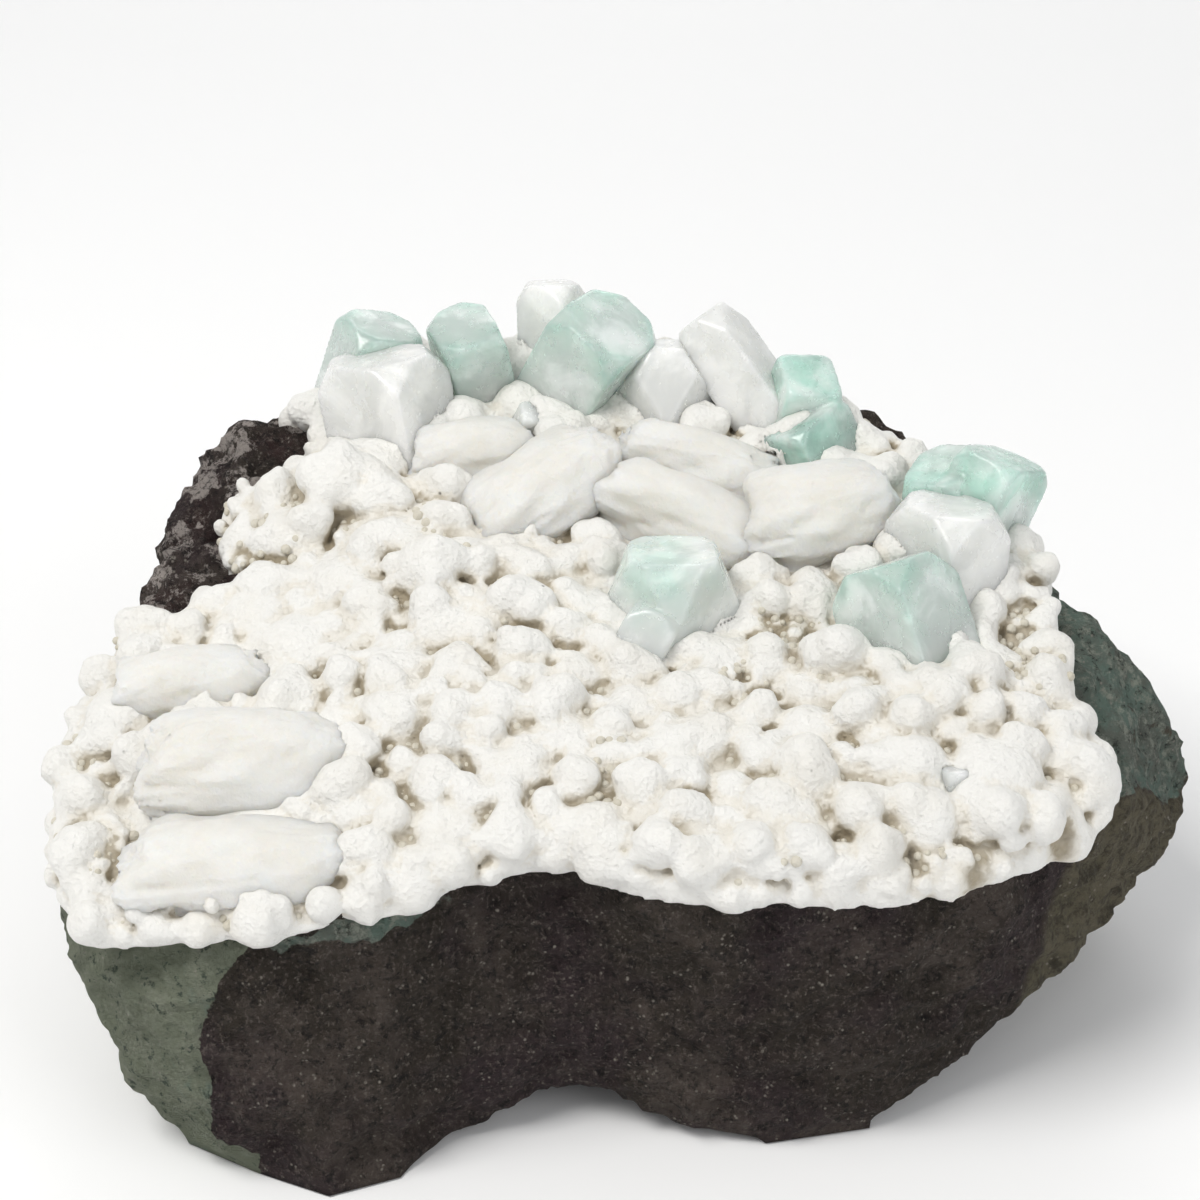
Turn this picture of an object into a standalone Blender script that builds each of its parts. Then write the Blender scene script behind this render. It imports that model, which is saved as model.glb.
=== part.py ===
"""Green apophyllite and stilbite crystals on a white botryoidal crust over a block of basalt.

Metres, +Z up. The origin is on the flat underside of the block, +X runs along the front from left to
right and +Y runs from the front to the back. Lengths in the tables below are millimetres.
"""

import math

import bmesh
import bpy
import numpy as np
from mathutils import Matrix, Vector

MM = 0.001

# Driving dimensions of the block and its crust
SEAT_HEIGHT = 52.3
SEAT_SLOPE = 0.24
SEAT_CROWN = 0.0011
OUTCROP_PLACE = (-58.0, 38.0)
OUTCROP_RISE = 3.5
OUTCROP_REACH = 9.0
ROCK_ROUGHNESS = 0.7
LONGEST_EDGE = 10.0
CRUST_THICKNESS = 3.2
CRUST_SINK = 1.2
CRUST_CELL = 3.0
CRUST_VOXEL = 1.15
CRUST_TRIANGLES = 2900
GAP = 0.32
SEED = 11
FACET_STEEPNESS = 1.15

# Balls of the crust: smallest and largest radius, how close two may stand, darts thrown
LUMP_GRADES = (
    (2.8, 4.3, 0.82, 2600),
    (1.8, 2.7, 0.8, 2600),
)
LUMP_EDGE = 0.35

# One row for each corner of the block, going round from the front left:
# foot x, y, z, then rim x, y, z, then how far the side bulges low down and high up
BLOCK_CORNERS = (
    (-57.5, -37.5, 0, -70.5, -33, 39.5, 2.8, 3),
    (-48, -43, 0, -52, -41, 39.5, 5, 4),
    (-38, -47.5, 0, -39, -41, 40.5, 1.5, 1.5),
    (-29, -44, 0, -30, -40, 41.5, 1.5, 1),
    (-21.5, -37, 1.5, -21, -36, 43, 1, 0.5),
    (-10.5, -34.5, 6.5, -9, -33.5, 44.2, 0.5, 0),
    (-2, -34, 6.5, 1, -38, 43, -0.5, 0),
    (8, -36.5, 1, 9.5, -39.5, 42.7, 0, 0.5),
    (19, -37.5, 0, 19, -39.2, 42.5, 1.5, 0.5),
    (33, -34.5, 0, 33, -37.8, 42, 2, 1),
    (43, -28, 5, 47, -33.5, 41.8, 1.5, 1),
    (59, -18, 11, 63.5, -18.5, 42.5, 0.5, 0.5),
    (66, -9, 13, 70, -8.5, 36.5, 1, 0.5),
    (76, 3, 17, 79.8, 6, 25, 0.5, 0.5),
    (77, 12, 17, 82.5, 10.5, 29, 1, 0.5),
    (70, 22, 11, 79.5, 15, 30.5, 1, 0.5),
    (62, 29, 4, 72, 21.5, 37.8, 2, 0.5),
    (54, 34, 0, 65.5, 24.5, 41.8, 2.5, 1),
    (48, 39, 0, 59, 29, 54, 2.5, 1),
    (42, 44, 0, 50, 40, 59, 2, 0.5),
    (36, 49, 0, 44.5, 45.2, 63, 2, 0.5),
    (28, 53, 0, 37.5, 50.2, 65.6, 2, 0.5),
    (20, 56, 0, 27, 53.2, 63.8, 3, 1.5),
    (8, 58, 0, 9.5, 62, 66.5, 1.5, 0),
    (-8, 58, 0, -9, 66, 67.5, 2.5, 1.5),
    (-20, 58, 0, -21, 64.5, 66.8, 1, 0),
    (-32, 55, 0, -36, 63.5, 65.3, 2, 1),
    (-44, 48, 0, -46, 58.5, 63, 2, 1),
    (-52, 40, 0, -59.5, 53, 60.5, 1, 1),
    (-57, 28, 0, -64.5, 36, 55.5, 1.5, 0),
    (-60, 19, 0, -66.3, 26.5, 50.5, 1, 0),
    (-62, 9, 0, -67.5, 15, 49, 1.5, 1),
    (-63, -8, 0, -73, -6, 46.5, 2.5, 1),
    (-61, -24, 0, -73.5, -22, 43, 3, 2),
)
LEDGE_CORNERS = range(12, 17)
BLOCK_MIDDLE = (0.0, 8.0)

# Plan of the crust, going round from the front left
CRUST_PLAN = (
    (-67, -42), (-57, -43.5), (-48, -44.5), (-39, -43), (-31, -42), (-21, -38), (-9, -35),
    (1, -39.5), (10, -41), (19, -41), (33, -39.5), (47, -35), (54, -31), (60, -26), (64, -19.5),
    (62.5, -12), (59.5, -6), (59.5, 3), (59.5, 12), (58.5, 20), (55, 28), (48.5, 37), (41, 43),
    (33, 48), (25, 50.5), (18, 53.5), (8, 60), (-2, 63), (-10, 64.5), (-21, 63), (-36, 62), (-43, 58.5),
    (-46.5, 54), (-51, 52),
    (-50, 49), (-46, 43), (-50, 37), (-56, 38.5), (-61, 35), (-60.5, 29), (-57, 23), (-57, 17),
    (-65, 15), (-70, 4), (-72.5, -6.5), (-74, -15.5), (-73.5, -30),
)

# Rises of the crust under its thickest masses: x, y, height, reach
CRUST_HILLS = (
    (-40, 27, 5.0, 9), (-27, 10, 4.0, 10), (-60, -6, 3.5, 12), (-20, -16, 2.5, 12), (-50, -26, 2.5, 12),
    (20, -22, 2.0, 10), (45, -14, 4.0, 12), (50, -27, 2.0, 8), (-12, 24, 3.0, 8), (30, 40, 2.0, 12),
    (-30, 44, 2.0, 12), (54, 12, 2.5, 7),
)

# Bare patches, where only the finest balls grow: x, y, reach
CRUST_BARE = ((23, 0, 5.5), (53, 3, 5), (16, -9, 4), (14, 38, 4), (-2, -28, 3.5), (37, -36, 3.5), (-48, 17, 3))

# Single balls that stand out of the crust: x, y, z, radius
CRUST_SINGLE = ((11.5, 40.5, 67.6, 3.3), (-39.5, 26, 66.5, 4.6), (-33.5, 24, 65, 4), (-26.5, 10, 61.5, 4.4))


class Crystal:
    """A blocky crystal: four prism faces, two end faces and eight corner facets, rooted below its middle."""

    def __init__(self, centre, half, keep, toward=0, lean=0, roll=0, root=0, steep=FACET_STEEPNESS):
        self.centre = Vector(centre)
        self.half = half
        self.keep = keep
        self.root = root
        self.steep = steep
        self.turn = leaning(toward, lean, roll)

    def planes(self, gap):
        """Outward normals and distances of the faces, each moved out by the gap."""
        across, deep, tall = self.half
        sides = [
            (Vector((1, 0, 0)), across), (Vector((-1, 0, 0)), across),
            (Vector((0, 1, 0)), deep), (Vector((0, -1, 0)), deep),
            (Vector((0, 0, 1)), tall), (Vector((0, 0, -1)), tall + self.root),
        ]
        for x in (1, -1):
            for y in (1, -1):
                facet = Vector((x, y, self.steep))
                reach = across + deep + self.steep * tall
                sides.append((facet.normalized(), self.keep * reach / facet.length))
        return [(normal, distance + gap) for normal, distance in sides]


class Blade:
    """A stilbite blade: a thin plate with a pointed tip at each end and sloping rims."""

    def __init__(self, centre, half, turn):
        self.centre = Vector(centre)
        self.half = half
        self.turn = turn

    def planes(self, gap):
        """Outward normals and distances of the faces, each moved out by the gap."""
        wide, thick, long = self.half
        sides = [(Vector((0, s, 0)), thick) for s in (1, -1)]
        for s in (1, -1):
            sides.append((Vector((s, 0, 0)), wide))
            sides.append((Vector((0, 0, s)), long))
            for t in (1, -1):
                tip = Vector((s, 0, 0.8 * t)).normalized()
                sides.append((tip, 0.76 * (wide + 0.8 * long) / math.hypot(1, 0.8)))
                rim = Vector((s, 0.9 * t, 0)).normalized()
                sides.append((rim, 0.8 * (wide + 0.9 * thick) / math.hypot(1, 0.9)))
        return [(normal, distance + gap) for normal, distance in sides]


def leaning(toward, lean, roll):
    """Turn that rolls a crystal about its own axis, then leans that axis from upright towards a bearing."""
    bearing = Matrix.Rotation(math.radians(toward), 3, "Z")
    tilt = Matrix.Rotation(math.radians(lean), 3, "Y")
    spin = Matrix.Rotation(math.radians(roll), 3, "Z")
    return bearing @ tilt @ spin


def sheaf(centre, half, lie, rise, face, blades=3, fan=9):
    """Blades side by side in a sheaf, each turned a little more than the last.

    The long axis lies along the bearing lie, rises by rise, and the broad side turns by face about it.
    """
    long_axis = Matrix.Rotation(math.radians(lie), 3, "Z") @ Matrix.Rotation(math.radians(90 - rise), 3, "Y")
    made = []
    wide, thick, long = half
    for i in range(blades):
        share = i - (blades - 1) / 2
        turn = long_axis @ Matrix.Rotation(math.radians(face), 3, "Z")
        turn = turn @ Matrix.Rotation(math.radians(fan * share), 3, "Y")
        size = 1 - 0.13 * abs(share)
        step = turn @ Vector((0, share * thick * 1.15, 0))
        made.append(Blade(Vector(centre) + step, (wide * size, thick, long * size), turn))
    return made


# The crystals, each entry one grown-together group
APOPHYLLITES = {
    "apophyllite_left": [Crystal((-36.5, 53, 73), (5.6, 5, 5), 0.83, 3, 18, 24, root=5)],
    "apophyllite_back": [Crystal((-22.2, 51, 74), (5.2, 4.6, 5.8), 0.82, 240, 20, 53, root=5)],
    "apophyllite_centre": [Crystal((-3.8, 49, 75.2), (6.4, 6.6, 6.4), 0.81, 320, 30, 4, root=5)],
    "apophyllite_back_right": [
        Crystal((26.6, 41.9, 72.4), (4.2, 4.2, 3.4), 0.9, 304, 24, 69, root=5),
        Crystal((27.6, 37, 66.2), (5.8, 4.6, 4.6), 0.86, 168, 24, 59, root=3),
    ],
    "apophyllite_right": [
        Crystal((51.5, 22.5, 65), (6.6, 4.6, 6.2), 0.86, 30, 24, 20, root=4),
        Crystal((46.2, 24, 64.5), (5.2, 4.6, 5.4), 0.84, 190, 18, 50, root=4),
    ],
    "apophyllite_front": [Crystal((37.3, 2, 59), (6.6, 6.1, 6.4), 0.78, 122, 34, 14, root=2)],
    "apophyllite_middle": [
        Crystal((6.8, 6, 57.2), (7, 7, 8), 0.7, 90, 8, 45, root=2, steep=0.6),
        Crystal((2.2, -2.4, 54.3), (3.6, 3.6, 6.5), 0.82, 41, 38, 30, root=2),
    ],
}
STILBITES = {
    "stilbite_block_left": [Crystal((-34, 43, 69.8), (7.6, 6.4, 7.2), 0.8, 133, 13, 14, root=4)],
    "stilbite_block_back": [Crystal((-10, 57, 76), (4.2, 3.8, 6.4), 0.8, 93, 14, 55, root=6)],
    "stilbite_blade_centre": [Crystal((18, 46, 72.4), (4.4, 4, 11), 0.8, 145, 45, 12, root=1, steep=0.8)],
    "stilbite_block_centre": [Crystal((6.6, 47, 68.6), (6.5, 6.5, 8.6), 0.56, 90, 5, 45, root=3, steep=1.0)],
    "stilbite_block_right": [Crystal((44.5, 13, 61.6), (7, 5.6, 7), 0.78, 71, 8, 54, root=3)],
    "stilbite_sheaf_left": sheaf((-49.5, -21.5, 48.6), (8.5, 3.4, 12.6), 8, 4, 62),
    "stilbite_sheaf_front_left": sheaf((-49, -35.5, 43.6), (6, 2.6, 12.6), 6, 3, 70),
    "stilbite_sheaf_far_left": sheaf((-58.5, -6, 51), (5, 2.4, 10), 16, 6, 66),
    "stilbite_sheaf_back_left": sheaf((-20.7, 36, 64), (5, 2.6, 9.2), 10, 8, 72),
    "stilbite_sheaf_middle": sheaf((-11.5, 26, 63.6), (7, 2.8, 11), 28, 28, 74),
    "stilbite_sheaf_centre": sheaf((7.8, 22.6, 62.2), (4.8, 2.5, 12.2), -16, -14, 72),
    "stilbite_sheaf_behind": sheaf((10.5, 33, 64.6), (4, 2.3, 11), -8, -6, 66),
    "stilbite_sheaf_centre_right": sheaf((27.2, 22.6, 62.4), (7.2, 3, 10), 12, 10, 76),
}
PRISMS = {
    "small_prism_back": [Crystal((-13.2, 41.6, 67.6), (2, 2, 2.2), 0.92, 315, 30, 59, root=3)],
    "small_prism_front": [Crystal((42, -27, 48.6), (2, 1.8, 3.6), 0.9, 100, 14, 10, root=3)],
}


def seat_height(x, y):
    """Top of the block under the crust: it slopes up to the back, falls off to both sides, and rises at the outcrop."""
    rise = np.exp(-((x - OUTCROP_PLACE[0]) ** 2 + (y - OUTCROP_PLACE[1]) ** 2) / OUTCROP_REACH**2)
    return SEAT_HEIGHT + SEAT_SLOPE * y - SEAT_CROWN * x**2 + OUTCROP_RISE * rise


def crust_height(x, y):
    """Top of the crust's ground mass, before its balls."""
    height = seat_height(x, y) + CRUST_THICKNESS
    for hill_x, hill_y, rise, reach in CRUST_HILLS:
        height = height + rise * np.exp(-((x - hill_x) ** 2 + (y - hill_y) ** 2) / reach**2)
    return height


def plan_distance(x, y):
    """Distance to the outline of the crust, positive inside it, by the crossing rule."""
    x, y = np.broadcast_arrays(np.asarray(x, float), np.asarray(y, float))
    inside = np.zeros(x.shape, bool)
    nearest = np.full(x.shape, np.inf)
    for (ax, ay), (bx, by) in zip(CRUST_PLAN, CRUST_PLAN[1:] + CRUST_PLAN[:1]):
        dx, dy = bx - ax, by - ay
        along = np.clip(((x - ax) * dx + (y - ay) * dy) / (dx * dx + dy * dy), 0, 1)
        nearest = np.minimum(nearest, np.hypot(x - ax - along * dx, y - ay - along * dy))
        if dy:
            crosses = (ay > y) != (by > y)
            inside ^= crosses & (x < ax + (y - ay) * dx / dy)
    return np.where(inside, nearest, -nearest)


def crust_balls():
    """Balls of the crust as rows of x, y, z and radius: darts that stick where no bigger ball stands too close."""
    rng = np.random.default_rng(SEED)
    low = np.min(CRUST_PLAN, axis=0)
    high = np.max(CRUST_PLAN, axis=0)
    kept = np.array(CRUST_SINGLE)
    for smallest, largest, crowding, throws in LUMP_GRADES:
        spots = rng.uniform(low, high, (throws, 2))
        radii = smallest + (largest - smallest) * rng.random(throws) ** 1.6
        lifts = rng.uniform(-0.35, 0.45, throws)
        fits = plan_distance(*spots.T) > LUMP_EDGE * radii
        for x, y, reach in CRUST_BARE:
            fits &= np.hypot(spots[:, 0] - x, spots[:, 1] - y) > reach
        for (x, y), radius, lift in zip(spots[fits], radii[fits], lifts[fits]):
            apart = np.hypot(kept[:, 0] - x, kept[:, 1] - y)
            if np.any(apart < crowding * (kept[:, 3] + radius)):
                continue
            z = crust_height(x, y) + lift * radius
            kept = np.vstack((kept, (x, y, z, radius)))
    return kept


def new_object(name, mesh, material=None):
    """Object of a mesh, linked into the scene."""
    made = bpy.data.objects.new(name, mesh)
    bpy.context.scene.collection.objects.link(made)
    if material:
        mesh.materials.clear()
        mesh.materials.append(material)
    return made


def mesh_of(name, bm):
    """Mesh of a bmesh, which is freed."""
    mesh = bpy.data.meshes.new(name)
    bm.to_mesh(mesh)
    bm.free()
    return mesh


def helper(name, mesh):
    """Cutter that isn't part of the specimen."""
    made = new_object(name, mesh)
    made.hide_render = True
    made.display_type = "WIRE"
    return made


def evaluated_mesh(obj):
    """Mesh of an object with its modifiers applied."""
    graph = bpy.context.evaluated_depsgraph_get()
    return bpy.data.meshes.new_from_object(obj.evaluated_get(graph))


def boolean(obj, operation, other):
    """Boolean modifier with another object or with all objects of a collection."""
    modifier = obj.modifiers.new(operation.lower(), "BOOLEAN")
    modifier.operation = operation
    modifier.solver = "EXACT"
    if isinstance(other, bpy.types.Collection):
        modifier.operand_type = "COLLECTION"
        modifier.collection = other
    else:
        modifier.object = other


def stone(name, colour, roughness, alpha=1.0):
    """Principled material of one mineral."""
    material = bpy.data.materials.new(name)
    material.use_nodes = True
    shader = material.node_tree.nodes["Principled BSDF"]
    shader.inputs["Base Color"].default_value = (*colour, 1)
    shader.inputs["Roughness"].default_value = roughness
    shader.inputs["Metallic"].default_value = 0
    shader.inputs["Alpha"].default_value = alpha
    return material


def solid_between(planes, centre, turn):
    """Closed polyhedron that the planes leave of a large cube, in metres."""
    bm = bmesh.new()
    bmesh.ops.create_cube(bm, size=100)
    for normal, distance in planes:
        cut = bmesh.ops.bisect_plane(
            bm, geom=[*bm.verts, *bm.edges, *bm.faces], plane_co=normal * distance, plane_no=normal,
            clear_outer=True, dist=1e-5,
        )
        rim = [e for e in cut["geom_cut"] if isinstance(e, bmesh.types.BMEdge)]
        if rim:
            bmesh.ops.edgeloop_fill(bm, edges=rim)
    bmesh.ops.remove_doubles(bm, verts=bm.verts, dist=0.02)
    bmesh.ops.dissolve_degenerate(bm, edges=bm.edges, dist=0.02)
    bmesh.ops.recalc_face_normals(bm, faces=bm.faces)
    bm.transform(Matrix.Scale(MM, 4) @ Matrix.Translation(centre) @ turn.to_4x4())
    return bm


def crystal_group(name, crystals, gap=0.0):
    """Mesh of crystals grown together, joined in one solid."""
    parts = [mesh_of(name, solid_between(c.planes(gap), c.centre, c.turn)) for c in crystals]
    if len(parts) == 1:
        return parts[0]
    first = helper(name + "_first", parts[0])
    others = [helper(f"{name}_{i}", part) for i, part in enumerate(parts[1:])]
    for other in others:
        boolean(first, "UNION", other)
    bpy.context.view_layer.update()
    joined = evaluated_mesh(first)
    for used in (first, *others):
        bpy.data.objects.remove(used)
    return joined


def largest_island(mesh):
    """Deletes every loose crumb of a mesh except its largest piece."""
    bm = bmesh.new()
    bm.from_mesh(mesh)
    unseen = set(bm.verts)
    islands = []
    while unseen:
        stack = [unseen.pop()]
        island = set(stack)
        while stack:
            for edge in stack.pop().link_edges:
                for vert in edge.verts:
                    if vert not in island:
                        island.add(vert)
                        stack.append(vert)
        unseen -= island
        islands.append(island)
    islands.sort(key=len)
    for island in islands[:-1]:
        bmesh.ops.delete(bm, geom=list(island), context="VERTS")
    bm.to_mesh(mesh)
    bm.free()


def wave(x, y, z):
    """Smooth unevenness between -1 and 1, the mean of four slanting ripples."""
    return (
        math.sin(0.31 * x + 0.11 * y + 0.42 * z + 0.5) + math.sin(-0.17 * x + 0.37 * y + 0.23 * z + 2.1)
        + math.sin(0.53 * x - 0.29 * y + 0.61 * z + 4.0) + math.sin(0.71 * x + 0.47 * y - 0.35 * z + 1.3)
    ) / 4


def basalt_block():
    """The block: rings of corners from the foot to the rim, a flat sole below and the seat of the crust above."""
    middle = Vector((*BLOCK_MIDDLE, 0))
    bm = bmesh.new()
    rings = [[] for _ in range(4)]
    for foot_x, foot_y, foot_z, rim_x, rim_y, rim_z, low, high in BLOCK_CORNERS:
        foot = Vector((foot_x, foot_y, foot_z))
        rim = Vector((rim_x, rim_y, rim_z))
        outward = (foot - middle) * Vector((1, 1, 0))
        outward.normalize()
        for ring, (share, bulge) in zip(rings, ((0, 0), (0.33, low), (0.67, high), (1, 0))):
            ring.append(foot.lerp(rim, share) + outward * bulge)
    sole = []
    for point in rings[0]:
        shrink = Vector((0.8, 0.8, 0)) if point.z < 2 else Vector((0.7, 0.62, 0))
        inner = middle + (point - middle) * shrink
        sole.append(Vector((inner.x, inner.y, 0)))
    rings.insert(0, sole)
    for share in (0.9, 0.5):
        ring = []
        for i, point in enumerate(rings[4]):
            near = 0.82 if i in LEDGE_CORNERS and share == 0.9 else share
            x = BLOCK_MIDDLE[0] + (point.x - BLOCK_MIDDLE[0]) * near
            y = BLOCK_MIDDLE[1] + (point.y - BLOCK_MIDDLE[1]) * near
            ring.append(Vector((x, y, float(seat_height(x, y)))))
        rings.append(ring)
    verts = [[bm.verts.new(point) for point in ring] for ring in rings]
    for lower, upper in zip(verts, verts[1:]):
        for i in range(len(lower)):
            j = (i + 1) % len(lower)
            bm.faces.new((lower[i], lower[j], upper[j], upper[i]))
    bm.faces.new(list(reversed(verts[0])))
    peak = bm.verts.new((*BLOCK_MIDDLE, float(seat_height(*BLOCK_MIDDLE))))
    for i in range(len(verts[-1])):
        bm.faces.new((verts[-1][i], verts[-1][(i + 1) % len(verts[-1])], peak))
    bmesh.ops.triangulate(bm, faces=[f for f in bm.faces if len(f.verts) == 4])
    coarse = [e for e in bm.edges if is_side(e) and e.calc_length() > LONGEST_EDGE]
    bmesh.ops.subdivide_edges(bm, edges=coarse, cuts=1)
    bmesh.ops.triangulate(bm, faces=bm.faces)
    for vert in bm.verts:
        if vert.co.z > 0.8:
            outward = (vert.co - middle) * Vector((1, 1, 0))
            amount = ROCK_ROUGHNESS * wave(*vert.co)
            vert.co += outward.normalized() * amount
    bmesh.ops.recalc_face_normals(bm, faces=bm.faces)
    bm.transform(Matrix.Scale(MM, 4))
    return mesh_of("basalt_matrix", bm)


def is_side(edge):
    """True for an edge on the flank of the block, clear of its sole and of the middle of its seat."""
    middle = (edge.verts[0].co + edge.verts[1].co) / 2
    across = (middle.x - BLOCK_MIDDLE[0]) / 62
    deep = (middle.y - BLOCK_MIDDLE[1]) / 44
    return max(v.co.z for v in edge.verts) > 1 and across**2 + deep**2 > 0.75


def crust_blank():
    """Ground sheet of the crust and all its balls, fused in one skin and thinned to few triangles."""
    bm = bmesh.new()
    low = np.min(CRUST_PLAN, axis=0)
    high = np.max(CRUST_PLAN, axis=0)
    columns = np.arange(low[0], high[0] + CRUST_CELL, CRUST_CELL)
    rows = np.arange(low[1], high[1] + CRUST_CELL, CRUST_CELL)
    corners = {}
    for i, x in enumerate(columns):
        for j, y in enumerate(rows):
            if plan_distance(x, y) > 0.2:
                corners[i, j] = (bm.verts.new((x, y, float(crust_height(x, y)))),
                                 bm.verts.new((x, y, float(seat_height(x, y)) - CRUST_SINK)))
    cells = [(i, j) for i, j in corners if {(i + 1, j), (i, j + 1), (i + 1, j + 1)} <= corners.keys()]
    around = ((0, 0), (1, 0), (1, 1), (0, 1))
    for i, j in cells:
        bm.faces.new([corners[i + a, j + b][0] for a, b in around])
        bm.faces.new([corners[i + a, j + b][1] for a, b in reversed(around)])
        for k, (a, b) in enumerate(around):
            c, d = around[(k + 1) % 4]
            beside = {0: (i, j - 1), 1: (i + 1, j), 2: (i, j + 1), 3: (i - 1, j)}[k]
            if beside not in cells:
                one, two = corners[i + a, j + b], corners[i + c, j + d]
                bm.faces.new((one[0], one[1], two[1], two[0]))
    bmesh.ops.delete(bm, geom=[v for v in bm.verts if not v.link_faces], context="VERTS")
    for x, y, z, radius in crust_balls():
        place = Matrix.Translation((x, y, z)) @ Matrix.Scale(1.08, 4, (0, 0, 1))
        bmesh.ops.create_icosphere(bm, subdivisions=2, radius=radius, matrix=place)
    bmesh.ops.recalc_face_normals(bm, faces=bm.faces)
    bm.transform(Matrix.Scale(MM, 4))
    blank = helper("crust_blank", mesh_of("crust_blank", bm))
    skin = blank.modifiers.new("skin", "REMESH")
    skin.mode = "VOXEL"
    skin.voxel_size = CRUST_VOXEL * MM
    bpy.context.view_layer.update()
    fused = evaluated_mesh(blank)
    thin = blank.modifiers.new("thin", "DECIMATE")
    thin.ratio = CRUST_TRIANGLES / sum(len(p.vertices) - 2 for p in fused.polygons)
    bpy.context.view_layer.update()
    mesh = evaluated_mesh(blank)
    bpy.data.objects.remove(blank)
    return mesh


def grown_block(mesh):
    """Copy of the block a little larger and higher, which leaves the gap under the crust."""
    grown = mesh.copy()
    widen = 1 + 0.45 / 60
    grown.transform(
        Matrix.Translation((0, 0, GAP * MM))
        @ Matrix.Translation((0, BLOCK_MIDDLE[1] * MM, 0))
        @ Matrix.Diagonal((widen, widen, 1, 1))
        @ Matrix.Translation((0, -BLOCK_MIDDLE[1] * MM, 0))
    )
    return grown


def main():
    for obj in list(bpy.data.objects):
        bpy.data.objects.remove(obj)
    green = stone("apophyllite", (0.62, 0.78, 0.68), 0.12, 0.6)
    cream = stone("stilbite", (0.82, 0.8, 0.74), 0.28, 0.85)
    white = stone("crust", (0.9, 0.88, 0.82), 0.45)
    dark = stone("basalt", (0.04, 0.034, 0.03), 0.9)

    block_mesh = basalt_block()
    new_object("basalt_matrix", block_mesh, dark)

    pockets = bpy.data.collections.new("pockets")
    bpy.context.scene.collection.children.link(pockets)
    pockets.hide_render = True
    boxes = {}
    for name, crystals in {**APOPHYLLITES, **PRISMS, **STILBITES}.items():
        cutter = helper(name + "_pocket", crystal_group(name + "_pocket", crystals, GAP))
        bpy.context.scene.collection.objects.unlink(cutter)
        pockets.objects.link(cutter)
        boxes[name] = cutter

    block_cutter = helper("block_cutter", grown_block(block_mesh))
    placed = []
    for name, crystals in {**APOPHYLLITES, **PRISMS, **STILBITES}.items():
        material = cream if name in STILBITES else green
        raw = helper(name + "_raw", crystal_group(name, crystals))
        boolean(raw, "DIFFERENCE", block_cutter)
        for earlier in placed:
            if overlap(boxes[earlier], boxes[name]):
                boolean(raw, "DIFFERENCE", boxes[earlier])
        bpy.context.view_layer.update()
        mesh = evaluated_mesh(raw)
        largest_island(mesh)
        bpy.data.objects.remove(raw)
        new_object(name, mesh, material)
        placed.append(name)

    crust = helper("crust_raw", crust_blank())
    boolean(crust, "DIFFERENCE", block_cutter)
    for cutter in boxes.values():
        boolean(crust, "DIFFERENCE", cutter)
    bpy.context.view_layer.update()
    mesh = evaluated_mesh(crust)
    largest_island(mesh)
    bpy.data.objects.remove(crust)
    mesh.shade_smooth()
    mesh.set_sharp_from_angle(angle=math.radians(50))
    new_object("botryoidal_crust", mesh, white)


def overlap(one, two):
    """True if the boxes around two objects meet."""
    corners = [np.array([obj.matrix_world @ Vector(c) for c in obj.bound_box]) for obj in (one, two)]
    low = np.maximum(corners[0].min(0), corners[1].min(0))
    high = np.minimum(corners[0].max(0), corners[1].max(0))
    return bool(np.all(low < high))


main()
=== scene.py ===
"""Looks of a mineral specimen: green apophyllite and pearly stilbite on a white crust over basalt.

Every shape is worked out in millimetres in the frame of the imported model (x along the front from left
to right, y from the front to the back, z up) and goes into its mesh in metres.
"""

import logging
import math
from dataclasses import dataclass, field
from enum import Enum
from itertools import product

import bmesh
import bpy
import numpy as np
from mathutils import Matrix, Vector


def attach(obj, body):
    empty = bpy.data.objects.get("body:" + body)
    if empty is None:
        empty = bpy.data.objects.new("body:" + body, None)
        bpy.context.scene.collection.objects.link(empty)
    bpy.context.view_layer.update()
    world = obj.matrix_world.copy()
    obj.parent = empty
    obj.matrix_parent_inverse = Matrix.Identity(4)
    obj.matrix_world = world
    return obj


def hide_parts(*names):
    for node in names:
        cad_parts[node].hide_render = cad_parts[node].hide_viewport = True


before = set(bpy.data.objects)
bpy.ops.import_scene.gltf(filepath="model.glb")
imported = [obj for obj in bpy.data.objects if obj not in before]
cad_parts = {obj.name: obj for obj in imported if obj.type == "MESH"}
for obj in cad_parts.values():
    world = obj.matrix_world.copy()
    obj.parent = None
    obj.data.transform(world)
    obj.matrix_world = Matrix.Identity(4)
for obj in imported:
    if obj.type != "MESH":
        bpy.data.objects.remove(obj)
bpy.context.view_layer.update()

MM = 0.001
LOG = logging.getLogger("specimen")


class Zone(Enum):
    """Point attributes that the finishes read from a mesh."""

    # CREVICE: share of crust around a point, by which the finishes paint shade in gaps and colour sand.
    CREVICE = "crevice"
    GREEN = "green_skin"
    OLIVE = "olive_skin"
    RUST = "rust_skin"
    TEAL = "teal_skin"
    EDGE = "edge"


class Mineral(Enum):
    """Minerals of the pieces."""

    BASALT = "basalt"
    CRUST = "crust"
    APOPHYLLITE = "apophyllite"
    STILBITE = "stilbite"


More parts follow.
